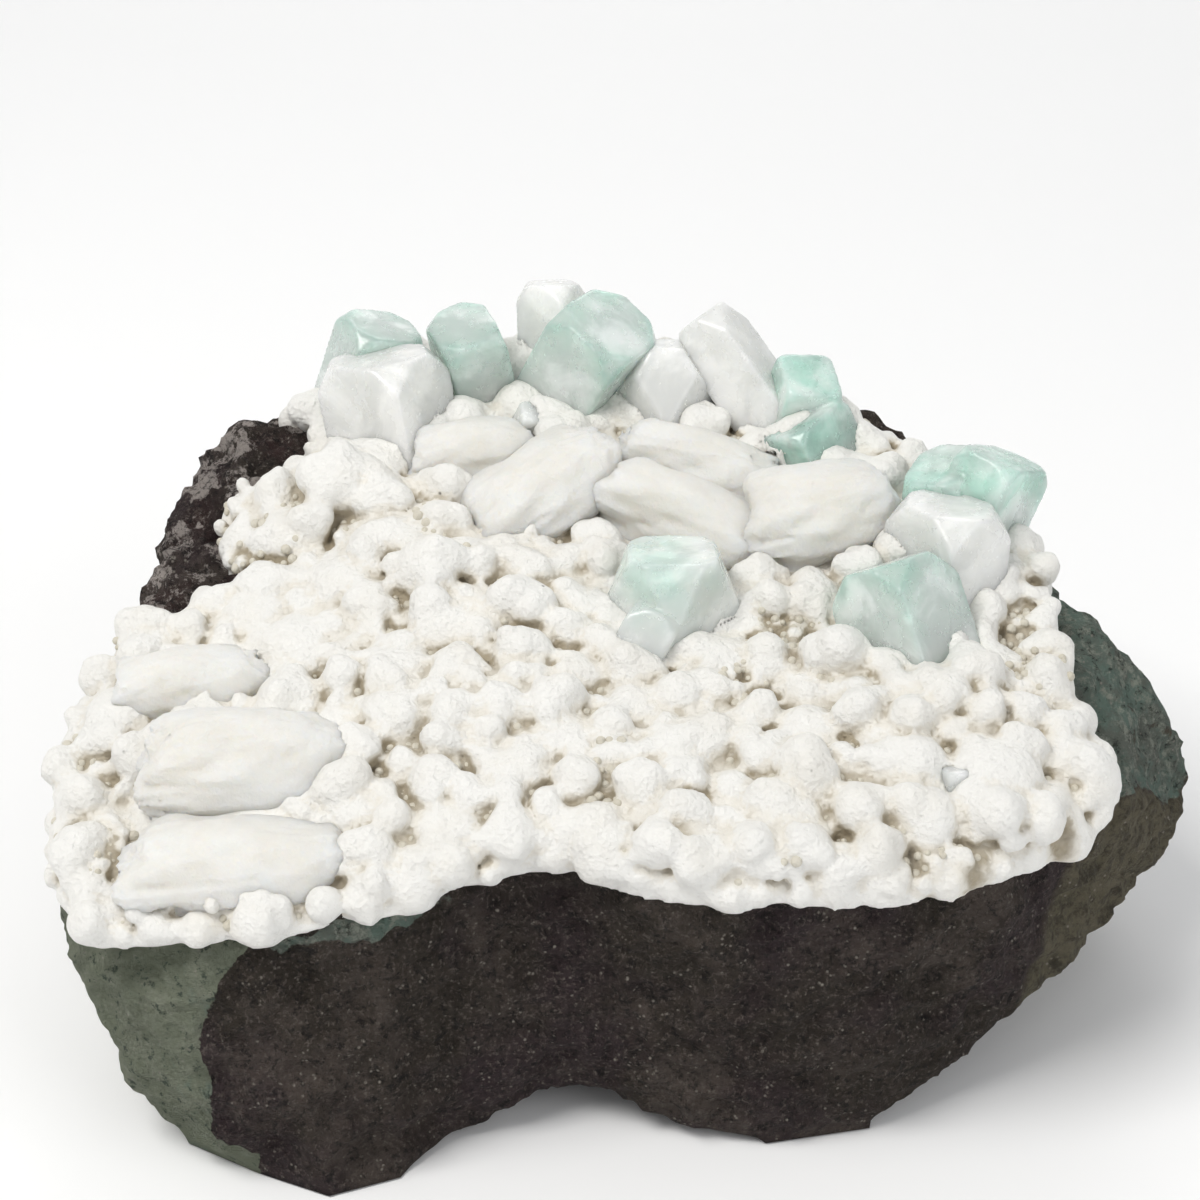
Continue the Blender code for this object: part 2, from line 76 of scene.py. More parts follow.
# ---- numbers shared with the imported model


@dataclass(frozen=True)
class Seat:
    """Top of the block under the crust, and the ground mass of the crust on it."""

    height: float = 52.3
    slope: float = 0.24
    crown: float = 0.0011
    outcrop: tuple = (-58.0, 38.0, 3.5, 9.0)
    thickness: float = 3.2
    sink: float = 1.2
    hills: tuple = (
        (-40, 27, 5.0, 9), (-27, 10, 4.0, 10), (-60, -6, 3.5, 12), (-20, -16, 2.5, 12), (-50, -26, 2.5, 12),
        (20, -22, 2.0, 10), (45, -14, 4.0, 12), (50, -27, 2.0, 8), (-12, 24, 3.0, 8), (30, 40, 2.0, 12),
        (-30, 44, 2.0, 12), (54, 12, 2.5, 7),
    )
    plan: tuple = (
        (-67, -42), (-57, -43.5), (-48, -44.5), (-39, -43), (-31, -42), (-21, -38), (-9, -35),
        (1, -39.5), (10, -41), (19, -41), (33, -39.5), (47, -35), (54, -31), (60, -26), (64, -19.5),
        (62.5, -12), (59.5, -6), (59.5, 3), (59.5, 12), (58.5, 20), (55, 28), (48.5, 37), (41, 43),
        (33, 48), (25, 50.5), (18, 53.5), (8, 60), (-2, 63), (-10, 64.5), (-21, 63), (-36, 62), (-43, 58.5),
        (-46.5, 54), (-51, 52),
        (-50, 49), (-46, 43), (-50, 37), (-56, 38.5), (-61, 35), (-60.5, 29), (-57, 23), (-57, 17),
        (-65, 15), (-70, 4), (-72.5, -6.5), (-74, -15.5), (-73.5, -30),
    )

    def rock(self, x: np.ndarray, y: np.ndarray) -> np.ndarray:
        """Top of the block: a plane that climbs to the back, a parabola across it and a bell at the outcrop.

        Args: x, y: places in millimetres.
        Returns: heights in millimetres.
        """
        ox, oy, rise, reach = self.outcrop
        bell = np.exp(-((x - ox) ** 2 + (y - oy) ** 2) / reach**2)
        return self.height + self.slope * y - self.crown * x**2 + rise * bell

    def ground(self, x: np.ndarray, y: np.ndarray) -> np.ndarray:
        """Top of the crust's ground mass: the block's top, the thickness and one bell for each hill.

        Args: x, y: places in millimetres.
        Returns: heights in millimetres.
        """
        top = self.rock(x, y) + self.thickness
        for hx, hy, rise, reach in self.hills:
            top = top + rise * np.exp(-((x - hx) ** 2 + (y - hy) ** 2) / reach**2)
        return top

    def inside(self, x: np.ndarray, y: np.ndarray) -> np.ndarray:
        """Distance to the crust's outline, positive inside it by the crossing rule.

        Args: x, y: places in millimetres.
        Returns: distances in millimetres.
        """
        x, y = np.broadcast_arrays(np.asarray(x, float), np.asarray(y, float))
        within = np.zeros(x.shape, bool)
        nearest = np.full(x.shape, np.inf)
        for (ax, ay), (bx, by) in zip(self.plan, self.plan[1:] + self.plan[:1]):
            dx, dy = bx - ax, by - ay
            along = np.clip(((x - ax) * dx + (y - ay) * dy) / (dx * dx + dy * dy), 0, 1)
            nearest = np.minimum(nearest, np.hypot(x - ax - along * dx, y - ay - along * dy))
            if dy:
                within ^= ((ay > y) != (by > y)) & (x < ax + (y - ay) * dx / dy)
        return np.where(within, nearest, -nearest)


SEAT = Seat()


def turned(toward: float, lean: float, roll: float) -> np.ndarray:
    """Turn that rolls about z, leans z away from upright and points the lean along a bearing.

    Args: toward: bearing; lean: from upright; roll: about z, all in degrees.
    Returns: (3, 3) matrix.
    """
    turn = Matrix.Rotation(math.radians(toward), 3, "Z") @ Matrix.Rotation(math.radians(lean), 3, "Y")
    return np.array(turn @ Matrix.Rotation(math.radians(roll), 3, "Z"))


# ---- tools of the mesh maker


class Noise:
    """Smooth unevenness between -1 and 1 from random numbers on a repeating lattice."""

    def __init__(self, seed: int, cells: int = 32) -> None:
        """Args: seed: of the lattice; cells: after how many cells it repeats."""
        self.cells = cells
        self.lattice = np.random.default_rng(seed).uniform(-1, 1, (cells, cells, cells)).astype(np.float32)

    def at(self, points: np.ndarray, length: float) -> np.ndarray:
        """Lattice values blended between the eight corners of each point's cell with 3t^2 - 2t^3.

        Args: points: (n, 3) in millimetres; length: size of a cell.
        Returns: (n,) values.
        """
        scaled = points / length
        base = np.floor(scaled)
        share = (scaled - base).astype(np.float32)
        share = share * share * (3 - 2 * share)
        first = base.astype(np.int64) % self.cells
        second = (first + 1) % self.cells
        total = np.zeros(len(points), np.float32)
        for corner in product((0, 1), repeat=3):
            index = [np.where(c, second[:, i], first[:, i]) for i, c in enumerate(corner)]
            weight = np.prod([share[:, i] if c else 1 - share[:, i] for i, c in enumerate(corner)], axis=0)
            total += weight * self.lattice[index[0], index[1], index[2]]
        return total

    def fractal(self, points: np.ndarray, length: float, octaves: int, fall: float = 0.5) -> np.ndarray:
        """Sum of octaves, each at half the length and a share of the height of the one before.

        Args: points: (n, 3); length: of the first octave; octaves: how many; fall: share kept.
        Returns: (n,) values, about -1 to 1.
        """
        total = np.zeros(len(points), np.float32)
        height, norm = 1.0, 0.0
        for i in range(octaves):
            total += height * self.at(points + 17.3 * i, length / 2**i)
            norm += height
            height *= fall
        return total / norm


@dataclass
class Clay:
    """Box of cells that holds a smooth union of shapes, and is meshed where their distance is zero."""

    low: np.ndarray
    high: np.ndarray
    step: float
    sharpness: float = 3.0
    weight: np.ndarray = field(init=False)
    axes: list = field(init=False)

    def __post_init__(self) -> None:
        """Lays out the cell corners and an empty union."""
        counts = np.ceil((np.asarray(self.high) - self.low) / self.step).astype(int) + 1
        self.axes = [self.low[i] + self.step * np.arange(n) for i, n in enumerate(counts)]
        self.weight = np.zeros(counts, np.float32)

    def window(self, low: np.ndarray, high: np.ndarray) -> tuple:
        """Slices of the box between two corners, and its coordinates there, ready to broadcast.

        Args: low, high: the corners in millimetres.
        Returns: slices, then x, y and z.
        """
        cut = []
        for axis, a, b in zip(self.axes, low, high):
            start = int(np.clip((a - axis[0]) / self.step, 0, len(axis)))
            stop = int(np.clip((b - axis[0]) / self.step + 2, start, len(axis)))
            cut.append(slice(start, stop))
        x, y, z = (axis[c] for axis, c in zip(self.axes, cut))
        return tuple(cut), x[:, None, None], y[None, :, None], z[None, None, :]

    def add(self, cut: tuple, distance: np.ndarray) -> None:
        """Adds a shape: each adds exp(-k d), whose logarithm over -k is a rounded smallest distance."""
        self.weight[cut] += np.exp(-self.sharpness * np.clip(distance, -2.5, 3.0)).astype(np.float32)

    def ball(self, x: float, y: float, z: float, radius: float, tall: float = 1.0) -> None:
        """Adds a ball.

        Args: x, y, z: its middle; radius: its size; tall: stretch upwards.
        """
        reach = np.array([radius, radius, radius * tall]) + 1.0
        place = np.array([x, y, z])
        cut, gx, gy, gz = self.window(place - reach, place + reach)
        self.add(cut, np.sqrt((gx - x) ** 2 + (gy - y) ** 2 + ((gz - z) / tall) ** 2) - radius)

    def distance(self) -> np.ndarray:
        """Distance to the union, negative inside it."""
        return -np.log(np.maximum(self.weight, 1e-5)) / self.sharpness

    def points(self, mask: np.ndarray) -> np.ndarray:
        """Coordinates of the masked corners, (n, 3)."""
        found = np.nonzero(mask)
        return np.stack([axis[i] for axis, i in zip(self.axes, found)], axis=1)


def net(values: np.ndarray, low: np.ndarray, step: float) -> tuple[np.ndarray, np.ndarray]:
    """Closed skin where a field is zero, by surface nets.

    A cell with both signs at its corners gets one point, the mean of the zero crossings on its twelve
    edges, and each edge of the lattice that changes sign gets the quad of the four cells around it.

    Args: values: field at the corners, negative inside; low: place of the first corner; step: cell size.
    Returns: points (n, 3) and quads (m, 4) that face outwards.
    """
    inside = values < 0
    corners = list(product((0, 1), repeat=3))
    size = np.array(values.shape) - 1
    part = [inside[tuple(slice(c, c + s) for c, s in zip(corner, size))] for corner in corners]
    mixed = np.logical_or.reduce(part) & ~np.logical_and.reduce(part)
    cells = np.argwhere(mixed)
    number = np.full(mixed.shape, -1, np.int64)
    number[mixed] = np.arange(len(cells))
    total = np.zeros((len(cells), 3))
    count = np.zeros(len(cells))
    for one, two in product(corners, corners):
        if sum(two) - sum(one) != 1 or np.abs(np.subtract(one, two)).sum() != 1:
            continue
        here = values[tuple((cells + one).T)]
        there = values[tuple((cells + two).T)]
        crosses = (here < 0) != (there < 0)
        share = np.where(crosses, here / np.where(crosses, here - there, 1), 0)
        total += crosses[:, None] * (one + share[:, None] * np.subtract(two, one))
        count += crosses
    points = low + step * (cells + total / count[:, None])
    quads = []
    for axis in range(3):
        across, up = (axis + 1) % 3, (axis + 2) % 3
        ahead = np.moveaxis(inside, axis, 0)
        change = np.argwhere(np.moveaxis(ahead[:-1] != ahead[1:], 0, axis))
        change = change[(change[:, across] > 0) & (change[:, up] > 0)]
        change = change[(change[:, across] < size[across]) & (change[:, up] < size[up])]
        around = []
        for back_across, back_up in ((1, 1), (0, 1), (0, 0), (1, 0)):
            cell = change.copy()
            cell[:, across] -= back_across
            cell[:, up] -= back_up
            around.append(number[tuple(cell.T)])
        quad = np.stack(around, axis=1)
        leaves = inside[tuple(change.T)]
        quads.append(np.where(leaves[:, None], quad, quad[:, ::-1]))
    return points, np.concatenate(quads)


def blurred(mass: np.ndarray, reach: int) -> np.ndarray:
    """Running mean of a field along each axis in turn, taken twice, over 2 reach + 1 cells.

    Args: mass: the field; reach: cells to each side.
    Returns: the blurred field.
    """
    for axis in (0, 1, 2, 0, 1, 2):
        edge = [(0, 0)] * 3
        edge[axis] = (reach + 1, reach)
        run = np.cumsum(np.pad(mass, edge, mode="edge"), axis=axis, dtype=np.float32)
        width = 2 * reach + 1
        far = np.take(run, np.arange(width, run.shape[axis]), axis=axis)
        near = np.take(run, np.arange(0, run.shape[axis] - width), axis=axis)
        mass = (far - near) / width
    return mass


def piece(name: str, points: np.ndarray, faces: np.ndarray) -> bpy.types.Object:
    """Smooth-shaded mesh object from arrays.

    Args: name: of the piece; points: (n, 3) in millimetres; faces: (m, k) indices.
    Returns: the object, linked, at the origin.
    """
    mesh = bpy.data.meshes.new(name)
    count, sides = faces.shape
    mesh.vertices.add(len(points))
    mesh.vertices.foreach_set("co", (points * MM).astype(np.float32).ravel())
    mesh.loops.add(count * sides)
    mesh.loops.foreach_set("vertex_index", faces.astype(np.int32).ravel())
    mesh.polygons.add(count)
    mesh.polygons.foreach_set("loop_start", np.arange(count, dtype=np.int32) * sides)
    mesh.update(calc_edges=True)
    mesh.validate()
    mesh.polygons.foreach_set("use_smooth", np.ones(len(mesh.polygons), bool))
    made = bpy.data.objects.new(name, mesh)
    bpy.context.scene.collection.objects.link(made)
    return made


def step(values: np.ndarray, width: float) -> np.ndarray:
    """Ramp from 0 to 1 over a width, with its middle where the values are zero."""
    return np.clip(values / width + 0.5, 0, 1)


def mark(obj: bpy.types.Object, zone: Zone, values: np.ndarray) -> None:
    """Stores one number for each point of a mesh."""
    attribute = obj.data.attributes.new(zone.value, "FLOAT", "POINT")
    attribute.data.foreach_set("value", np.asarray(values, np.float32))


def places(mesh: bpy.types.Mesh) -> np.ndarray:
    """Points of a mesh in millimetres, (n, 3)."""
    flat = np.empty(len(mesh.vertices) * 3, np.float32)
    mesh.vertices.foreach_get("co", flat)
    return flat.reshape(-1, 3).astype(float) / MM


def applied(obj: bpy.types.Object) -> None:
    """Puts the result of an object's modifiers into its mesh.

    Args: obj: the object.
    """
    graph = bpy.context.evaluated_depsgraph_get()
    done = bpy.data.meshes.new_from_object(obj.evaluated_get(graph))
    obj.modifiers.clear()
    obj.data = done


def merged_copy(node: str, name: str) -> bpy.types.Object:
    """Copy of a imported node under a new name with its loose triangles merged.

    Args: node: to copy; name: of the copy.
    Returns: the copy, linked.
    """
    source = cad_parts[node]
    bm = bmesh.new()
    bm.from_mesh(source.data)
    bmesh.ops.remove_doubles(bm, verts=bm.verts, dist=2e-6)
    mesh = bpy.data.meshes.new(name)
    bm.to_mesh(mesh)
    bm.free()
    made = bpy.data.objects.new(name, mesh)
    bpy.context.scene.collection.objects.link(made)
    return made


def settle(obj: bpy.types.Object, mineral: Mineral, *nodes: str) -> None:
    """Lets a finished piece ride on the specimen and hides the nodes it stands for.

    Args: obj: the piece; mineral: not used; nodes: that it replaces.
    """
    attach(obj, "root")
    if nodes:
        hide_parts(*nodes)
    LOG.info("%s: %d faces", obj.name, len(obj.data.polygons))


# ---- finishes


class Finish:
    """A node material under construction: its shader, its coordinates and short ways to link nodes."""

    def __init__(self, name: str) -> None:
        """Args: name: of the material."""
        self.material = bpy.data.materials.new(name)
        self.material.use_nodes = True
        self.tree = self.material.node_tree
        self.shader = self.tree.nodes["Principled BSDF"]
        self.place = self.tree.nodes.new("ShaderNodeTexCoord").outputs["Object"]

    def set(self, **values: float) -> None:
        """Sets constant sockets of the shader; an underscore in a name stands for a space."""
        for key, value in values.items():
            self.shader.inputs[key.replace("_", " ")].default_value = value

    def link(self, source: bpy.types.NodeSocket, target: bpy.types.NodeSocket) -> None:
        """Joins two sockets."""
        self.tree.links.new(source, target)

    def noise(self, scale: float, detail: float = 4, rough: float = 0.6, warp: float = 0) -> bpy.types.NodeSocket:
        """Cloudy noise in object space.

        Args: scale: clouds per metre; detail: octaves; rough: share kept by each; warp: distortion.
        Returns: the value socket.
        """
        node = self.tree.nodes.new("ShaderNodeTexNoise")
        node.inputs["Scale"].default_value = scale
        node.inputs["Detail"].default_value = detail
        node.inputs["Roughness"].default_value = rough
        node.inputs["Distortion"].default_value = warp
        self.link(self.place, node.inputs["Vector"])
        return node.outputs["Fac"]

    def cells(self, scale: float) -> bpy.types.NodeSocket:
        """Distance to the nearest point of a cell pattern in object space.

        Args: scale: cells per metre.
        Returns: the distance socket.
        """
        node = self.tree.nodes.new("ShaderNodeTexVoronoi")
        node.inputs["Scale"].default_value = scale
        self.link(self.place, node.inputs["Vector"])
        return node.outputs["Distance"]

    def mark(self, zone: Zone) -> bpy.types.NodeSocket:
        """A point attribute of the mesh."""
        node = self.tree.nodes.new("ShaderNodeAttribute")
        node.attribute_name = zone.value
        return node.outputs["Fac"]

    def between(self, value: bpy.types.NodeSocket, low: float, high: float,
                to_low: float = 0, to_high: float = 1) -> bpy.types.NodeSocket:
        """A smooth step of a value from one range to another.

        Args: value: to map; low, high: its range; to_low, to_high: the new range.
        Returns: the result socket.
        """
        node = self.tree.nodes.new("ShaderNodeMapRange")
        node.interpolation_type = "SMOOTHSTEP"
        self.link(value, node.inputs["Value"])
        for key, number in (("From Min", low), ("From Max", high), ("To Min", to_low), ("To Max", to_high)):
            node.inputs[key].default_value = number
        return node.outputs["Result"]

    def math(self, kind: str, one: bpy.types.NodeSocket, two: bpy.types.NodeSocket | float) -> bpy.types.NodeSocket:
        """Arithmetic of two values.

        Args: kind: of operation; one, two: its values.
        Returns: the result socket.
        """
        node = self.tree.nodes.new("ShaderNodeMath")
        node.operation = kind
        self.link(one, node.inputs[0])
        if isinstance(two, (int, float)):
            node.inputs[1].default_value = two
        else:
            self.link(two, node.inputs[1])
        return node.outputs[0]

    def mix(self, share: bpy.types.NodeSocket, one: object, two: object) -> bpy.types.NodeSocket:
        """Blend of two colours, each a triple or a socket.

        Args: share: of the second; one, two: the colours.
        Returns: the colour socket.
        """
        node = self.tree.nodes.new("ShaderNodeMix")
        node.data_type = "RGBA"
        self.link(share, node.inputs["Factor"])
        for colour, slot in ((one, node.inputs[6]), (two, node.inputs[7])):
            if isinstance(colour, tuple):
                slot.default_value = (*colour, 1)
            else:
                self.link(colour, slot)
        return node.outputs[2]

    def bump(self, height: bpy.types.NodeSocket, distance: float, strength: float = 1,
             under: bpy.types.NodeSocket | None = None) -> bpy.types.NodeSocket:
        """Raised detail, on top of an earlier one.

        Args: height: its value; distance: in metres; strength: share of it; under: earlier normal.
        Returns: the normal socket.
        """
        node = self.tree.nodes.new("ShaderNodeBump")
        node.inputs["Distance"].default_value = distance
        node.inputs["Strength"].default_value = strength
        self.link(height, node.inputs["Height"])
        if under is not None:
            self.link(under, node.inputs["Normal"])
        self.link(node.outputs["Normal"], self.shader.inputs["Normal"])
        return node.outputs["Normal"]

    def colour(self, source: bpy.types.NodeSocket) -> None:
        """Feeds the base colour."""
        self.link(source, self.shader.inputs["Base Color"])

    def dress(self, obj: bpy.types.Object) -> None:
        """Puts the material on an object."""
        obj.data.materials.clear()
        obj.data.materials.append(self.material)


@dataclass(frozen=True)
class BasaltFinish:
    """Dull dark fracture with pale specks, green skins with dark flecks and rusty stains."""

    plum: tuple = (0.052, 0.035, 0.038)
    brown: tuple = (0.050, 0.040, 0.031)
    pit: tuple = (0.011, 0.009, 0.009)
    dust: tuple = (0.118, 0.094, 0.080)
    green: tuple = (0.235, 0.260, 0.190)
    green_fleck: tuple = (0.055, 0.075, 0.058)
    teal: tuple = (0.175, 0.245, 0.205)
    olive: tuple = (0.190, 0.168, 0.115)
    olive_dark: tuple = (0.070, 0.062, 0.044)
    crumb: tuple = (0.60, 0.54, 0.50)
    spark: tuple = (0.190, 0.160, 0.138)
    teal_dull: tuple = (0.165, 0.182, 0.155)
    teal_pale: tuple = (0.340, 0.365, 0.305)
    teal_fleck: tuple = (0.026, 0.028, 0.024)
    green_pale: tuple = (0.300, 0.320, 0.245)
    rust: tuple = (0.058, 0.033, 0.031)
    grain: tuple = (0.42, 0.385, 0.33)

    def make(self) -> Finish:
        """Builds the material.

        Returns: the finish, ready to dress pieces.
        """
        made = Finish("basalt_fracture")
        made.set(Specular_IOR_Level=0.3)
        base = made.mix(made.between(made.noise(42, 5), 0.40, 0.60), self.plum, self.brown)
        base = made.mix(made.between(made.noise(75, 7, 0.7), 0.47, 0.66, 0, 0.8), base, self.dust)
        stain = made.math("MULTIPLY", made.mark(Zone.RUST), made.between(made.noise(110, 5), 0.4, 0.65))
        base = made.mix(stain, base, self.rust)
        crumbs = made.math("MULTIPLY", made.mark(Zone.RUST), made.between(made.noise(125, 7, 0.75), 0.49, 0.54))
        base = made.mix(made.math("MULTIPLY", crumbs, 0.85), base, self.crumb)
        base = made.mix(made.between(made.noise(620, 7, 0.85), 0.40, 0.50, 0.9, 0), base, self.pit)
        base = made.mix(made.between(made.noise(1500, 5, 0.85), 0.53, 0.62, 0, 0.8), base, self.spark)
        olive = made.mix(made.between(made.noise(420, 8, 0.85), 0.40, 0.56), self.olive_dark, self.olive)
        base = made.mix(made.mark(Zone.OLIVE), base, olive)
        mottled = made.mix(made.between(made.noise(150, 7, 0.75), 0.40, 0.58), self.teal, self.teal_dull)
        mottled = made.mix(made.between(made.noise(480, 6, 0.8), 0.48, 0.62), mottled, self.teal_pale)
        mottled = made.mix(made.between(made.noise(700, 6, 0.8), 0.54, 0.62, 0, 0.8), mottled, self.teal_fleck)
        spread = made.math("ADD", made.mark(Zone.TEAL), made.between(made.noise(260, 5, 0.7), 0.2, 0.8, -0.35, 0.35))
        base = made.mix(made.between(spread, 0.40, 0.60), base, mottled)
        green = made.mix(made.between(made.noise(90, 6, 0.7), 0.56, 0.70), self.green, self.teal)
        green = made.mix(made.between(made.noise(260, 6, 0.75), 0.44, 0.64), green, self.green_pale)
        green = made.mix(made.between(made.noise(560, 6, 0.8), 0.55, 0.62, 0, 0.9), green, self.green_fleck)
        ragged = made.math("ADD", made.mark(Zone.GREEN), made.between(made.noise(420, 5, 0.7), 0.2, 0.8, -0.3, 0.3))
        base = made.mix(made.between(ragged, 0.42, 0.54), base, green)
        grains = made.between(made.cells(1000), 0.05, 0.30, 1, 0)
        grains = made.math("MULTIPLY", grains, made.between(made.noise(260, 5, 0.8), 0.50, 0.58))
        made.colour(made.mix(made.math("MULTIPLY", grains, 0.85), base, self.grain))
        made.link(made.between(made.noise(500, 4), 0.3, 0.7, 0.7, 0.95), made.shader.inputs["Roughness"])
        rough = made.bump(made.noise(190, 12, 0.85, 0.3), 0.0062, 1.0)
        made.bump(made.noise(1500, 5, 0.8), 0.0009, 1.0, rough)
        return made


@dataclass(frozen=True)
class CrustFinish:
    """White rounded balls, cream at random, with painted shade that turns them warm, beige-grey and dark beige in the
    gaps, sandy beige on the bare patches, and few dark specks.
    """

    white: tuple = (0.93, 0.92, 0.885)
    cream: tuple = (0.88, 0.85, 0.78)
    # gap: dark beige of the sand on the bare patches, and painted shade in the deep gaps.
    gap: tuple = (0.42, 0.36, 0.26)
    speck: tuple = (0.10, 0.085, 0.07)
    # warm and shade: painted shade, laid in the gaps by the crevice share.
    warm_painted_shade: tuple = (0.86, 0.82, 0.735)
    shade: tuple = (0.70, 0.645, 0.54)
    gap_from: float = 0.60
    gap_to: float = 0.90
    name: str = "crust_skin"

    def make(self) -> Finish:
        """Builds the material.

        Returns: the finish, ready to dress pieces.
        """
        made = Finish(self.name)
        made.set(Specular_IOR_Level=0.45, IOR=1.5)
        base = made.mix(made.between(made.noise(90, 5), 0.42, 0.7, 0, 0.55), self.white, self.cream)
        # Painted shade: by the crevice share the crust turns warm, then beige-grey, then dark beige in the gaps; sand
        # raised into the share by mark_sand takes the same colours.
        deep = made.between(made.mark(Zone.CREVICE), self.gap_from, self.gap_to)
        deep = made.math("MULTIPLY", deep, made.between(made.noise(160, 4), 0.25, 0.6, 0.6, 1))
        faint_shade = made.between(made.mark(Zone.CREVICE), self.gap_from - 0.04, self.gap_to, 0, 0.5)
        warm_painted_shade = made.between(made.mark(Zone.CREVICE), self.gap_from - 0.2, self.gap_from, 0, 0.7)
        base = made.mix(warm_painted_shade, base, self.warm_painted_shade)
        base = made.mix(faint_shade, base, self.shade)
        base = made.mix(deep, base, self.gap)
        specks = made.between(made.cells(240), 0.0, 0.085, 1, 0)
        specks = made.math("MULTIPLY", specks, made.between(made.noise(75, 2), 0.55, 0.6))
        made.colour(made.mix(specks, base, self.speck))
        made.link(made.between(made.noise(240, 4), 0.35, 0.65, 0.3, 0.55), made.shader.inputs["Roughness"])
        soft = made.bump(made.noise(520, 7, 0.7), 0.0009, 0.9)
        made.bump(made.cells(1300), 0.0003, 0.5, soft)
        return made


@dataclass(frozen=True)
class GemFinish:
    """Glassy crystal with milky clouds, greener along its edges, where light goes through more of it."""

    name: str
    plain: tuple
    mint: tuple
    cloud: tuple
    deep: tuple
    clear: float
    milky: float
    absorb: tuple
    density: float
    roughness: float = 0.1
    glow: tuple = (0.92, 1.0, 0.96)

    def make(self) -> Finish:
        """Builds the material.

        Returns: the finish, ready to dress pieces.
        """
        made = Finish(self.name)
        made.set(IOR=1.53, Specular_IOR_Level=0.5, Subsurface_Weight=0.8, Subsurface_Scale=0.005,
                 Coat_Weight=0.1, Coat_Roughness=0.12)
        made.shader.inputs["Subsurface Radius"].default_value = self.glow
        body = made.mix(made.mark(Zone.GREEN), self.plain, self.mint)
        veil = made.between(made.noise(120, 5, 0.6, 0.5), 0.34, 0.68)
        body = made.mix(made.math("MULTIPLY", veil, 0.7), body, self.cloud)
        rim = made.math("MULTIPLY", made.mark(Zone.EDGE), made.between(made.noise(170, 3), 0.3, 0.6, 0.35, 0.9))
        rim = made.math("MULTIPLY", rim, made.mark(Zone.GREEN))
        body = made.mix(rim, body, self.deep)
        dust = made.math("MULTIPLY", made.between(made.cells(420), 0.0, 0.1, 1, 0),
                         made.between(made.noise(90, 2), 0.56, 0.62))
        made.colour(made.mix(made.math("MULTIPLY", dust, 0.7), body, (0.12, 0.11, 0.1)))
        clear = made.between(veil, 0, 1, self.clear, self.milky)
        clear = made.math("MULTIPLY", clear, made.between(made.mark(Zone.GREEN), 0.0, 1.0, 0.6, 1.0))
        made.link(clear, made.shader.inputs["Transmission Weight"])
        made.link(made.between(made.noise(300, 4), 0.35, 0.7, self.roughness, self.roughness + 0.2),
                  made.shader.inputs["Roughness"])
        made.bump(made.noise(800, 5, 0.6), 0.0002, 0.4)
        absorb = made.tree.nodes.new("ShaderNodeVolumeAbsorption")
        absorb.inputs["Color"].default_value = (*self.absorb, 1)
        absorb.inputs["Density"].default_value = self.density
        made.link(absorb.outputs["Volume"], made.tree.nodes["Material Output"].inputs["Volume"])
        return made


@dataclass(frozen=True)
class PearlFinish:
    """Stilbite: cream, pearly and a little see-through along its edges, with painted shade between its blades."""

    light: tuple = (0.94, 0.925, 0.885)
    dim: tuple = (0.88, 0.86, 0.805)

    def make(self) -> Finish:
        """Builds the material.

        Returns: the finish, ready to dress pieces.
        """
        made = Finish("stilbite_pearl")
        made.set(Subsurface_Weight=0.75, Subsurface_Scale=0.004, Transmission_Weight=0.12, IOR=1.5,
                 Specular_IOR_Level=0.5)
        made.shader.inputs["Subsurface Radius"].default_value = (1.0, 0.9, 0.75)
        base = made.mix(made.between(made.noise(140, 5), 0.35, 0.68), self.light, self.dim)
        # Painted shade: beige-grey where the blades close in, by the crevice share.
        deep = made.between(made.mark(Zone.CREVICE), 0.70, 0.95, 0, 0.5)
        made.colour(made.mix(deep, base, (0.50, 0.46, 0.37)))
        made.link(made.between(made.noise(300, 4), 0.35, 0.7, 0.36, 0.62), made.shader.inputs["Roughness"])
        soft = made.bump(made.noise(620, 7, 0.7), 0.0007, 0.8)
        made.bump(made.noise(2200, 3, 0.6), 0.00015, 0.5, soft)
        return made


# ---- the pieces


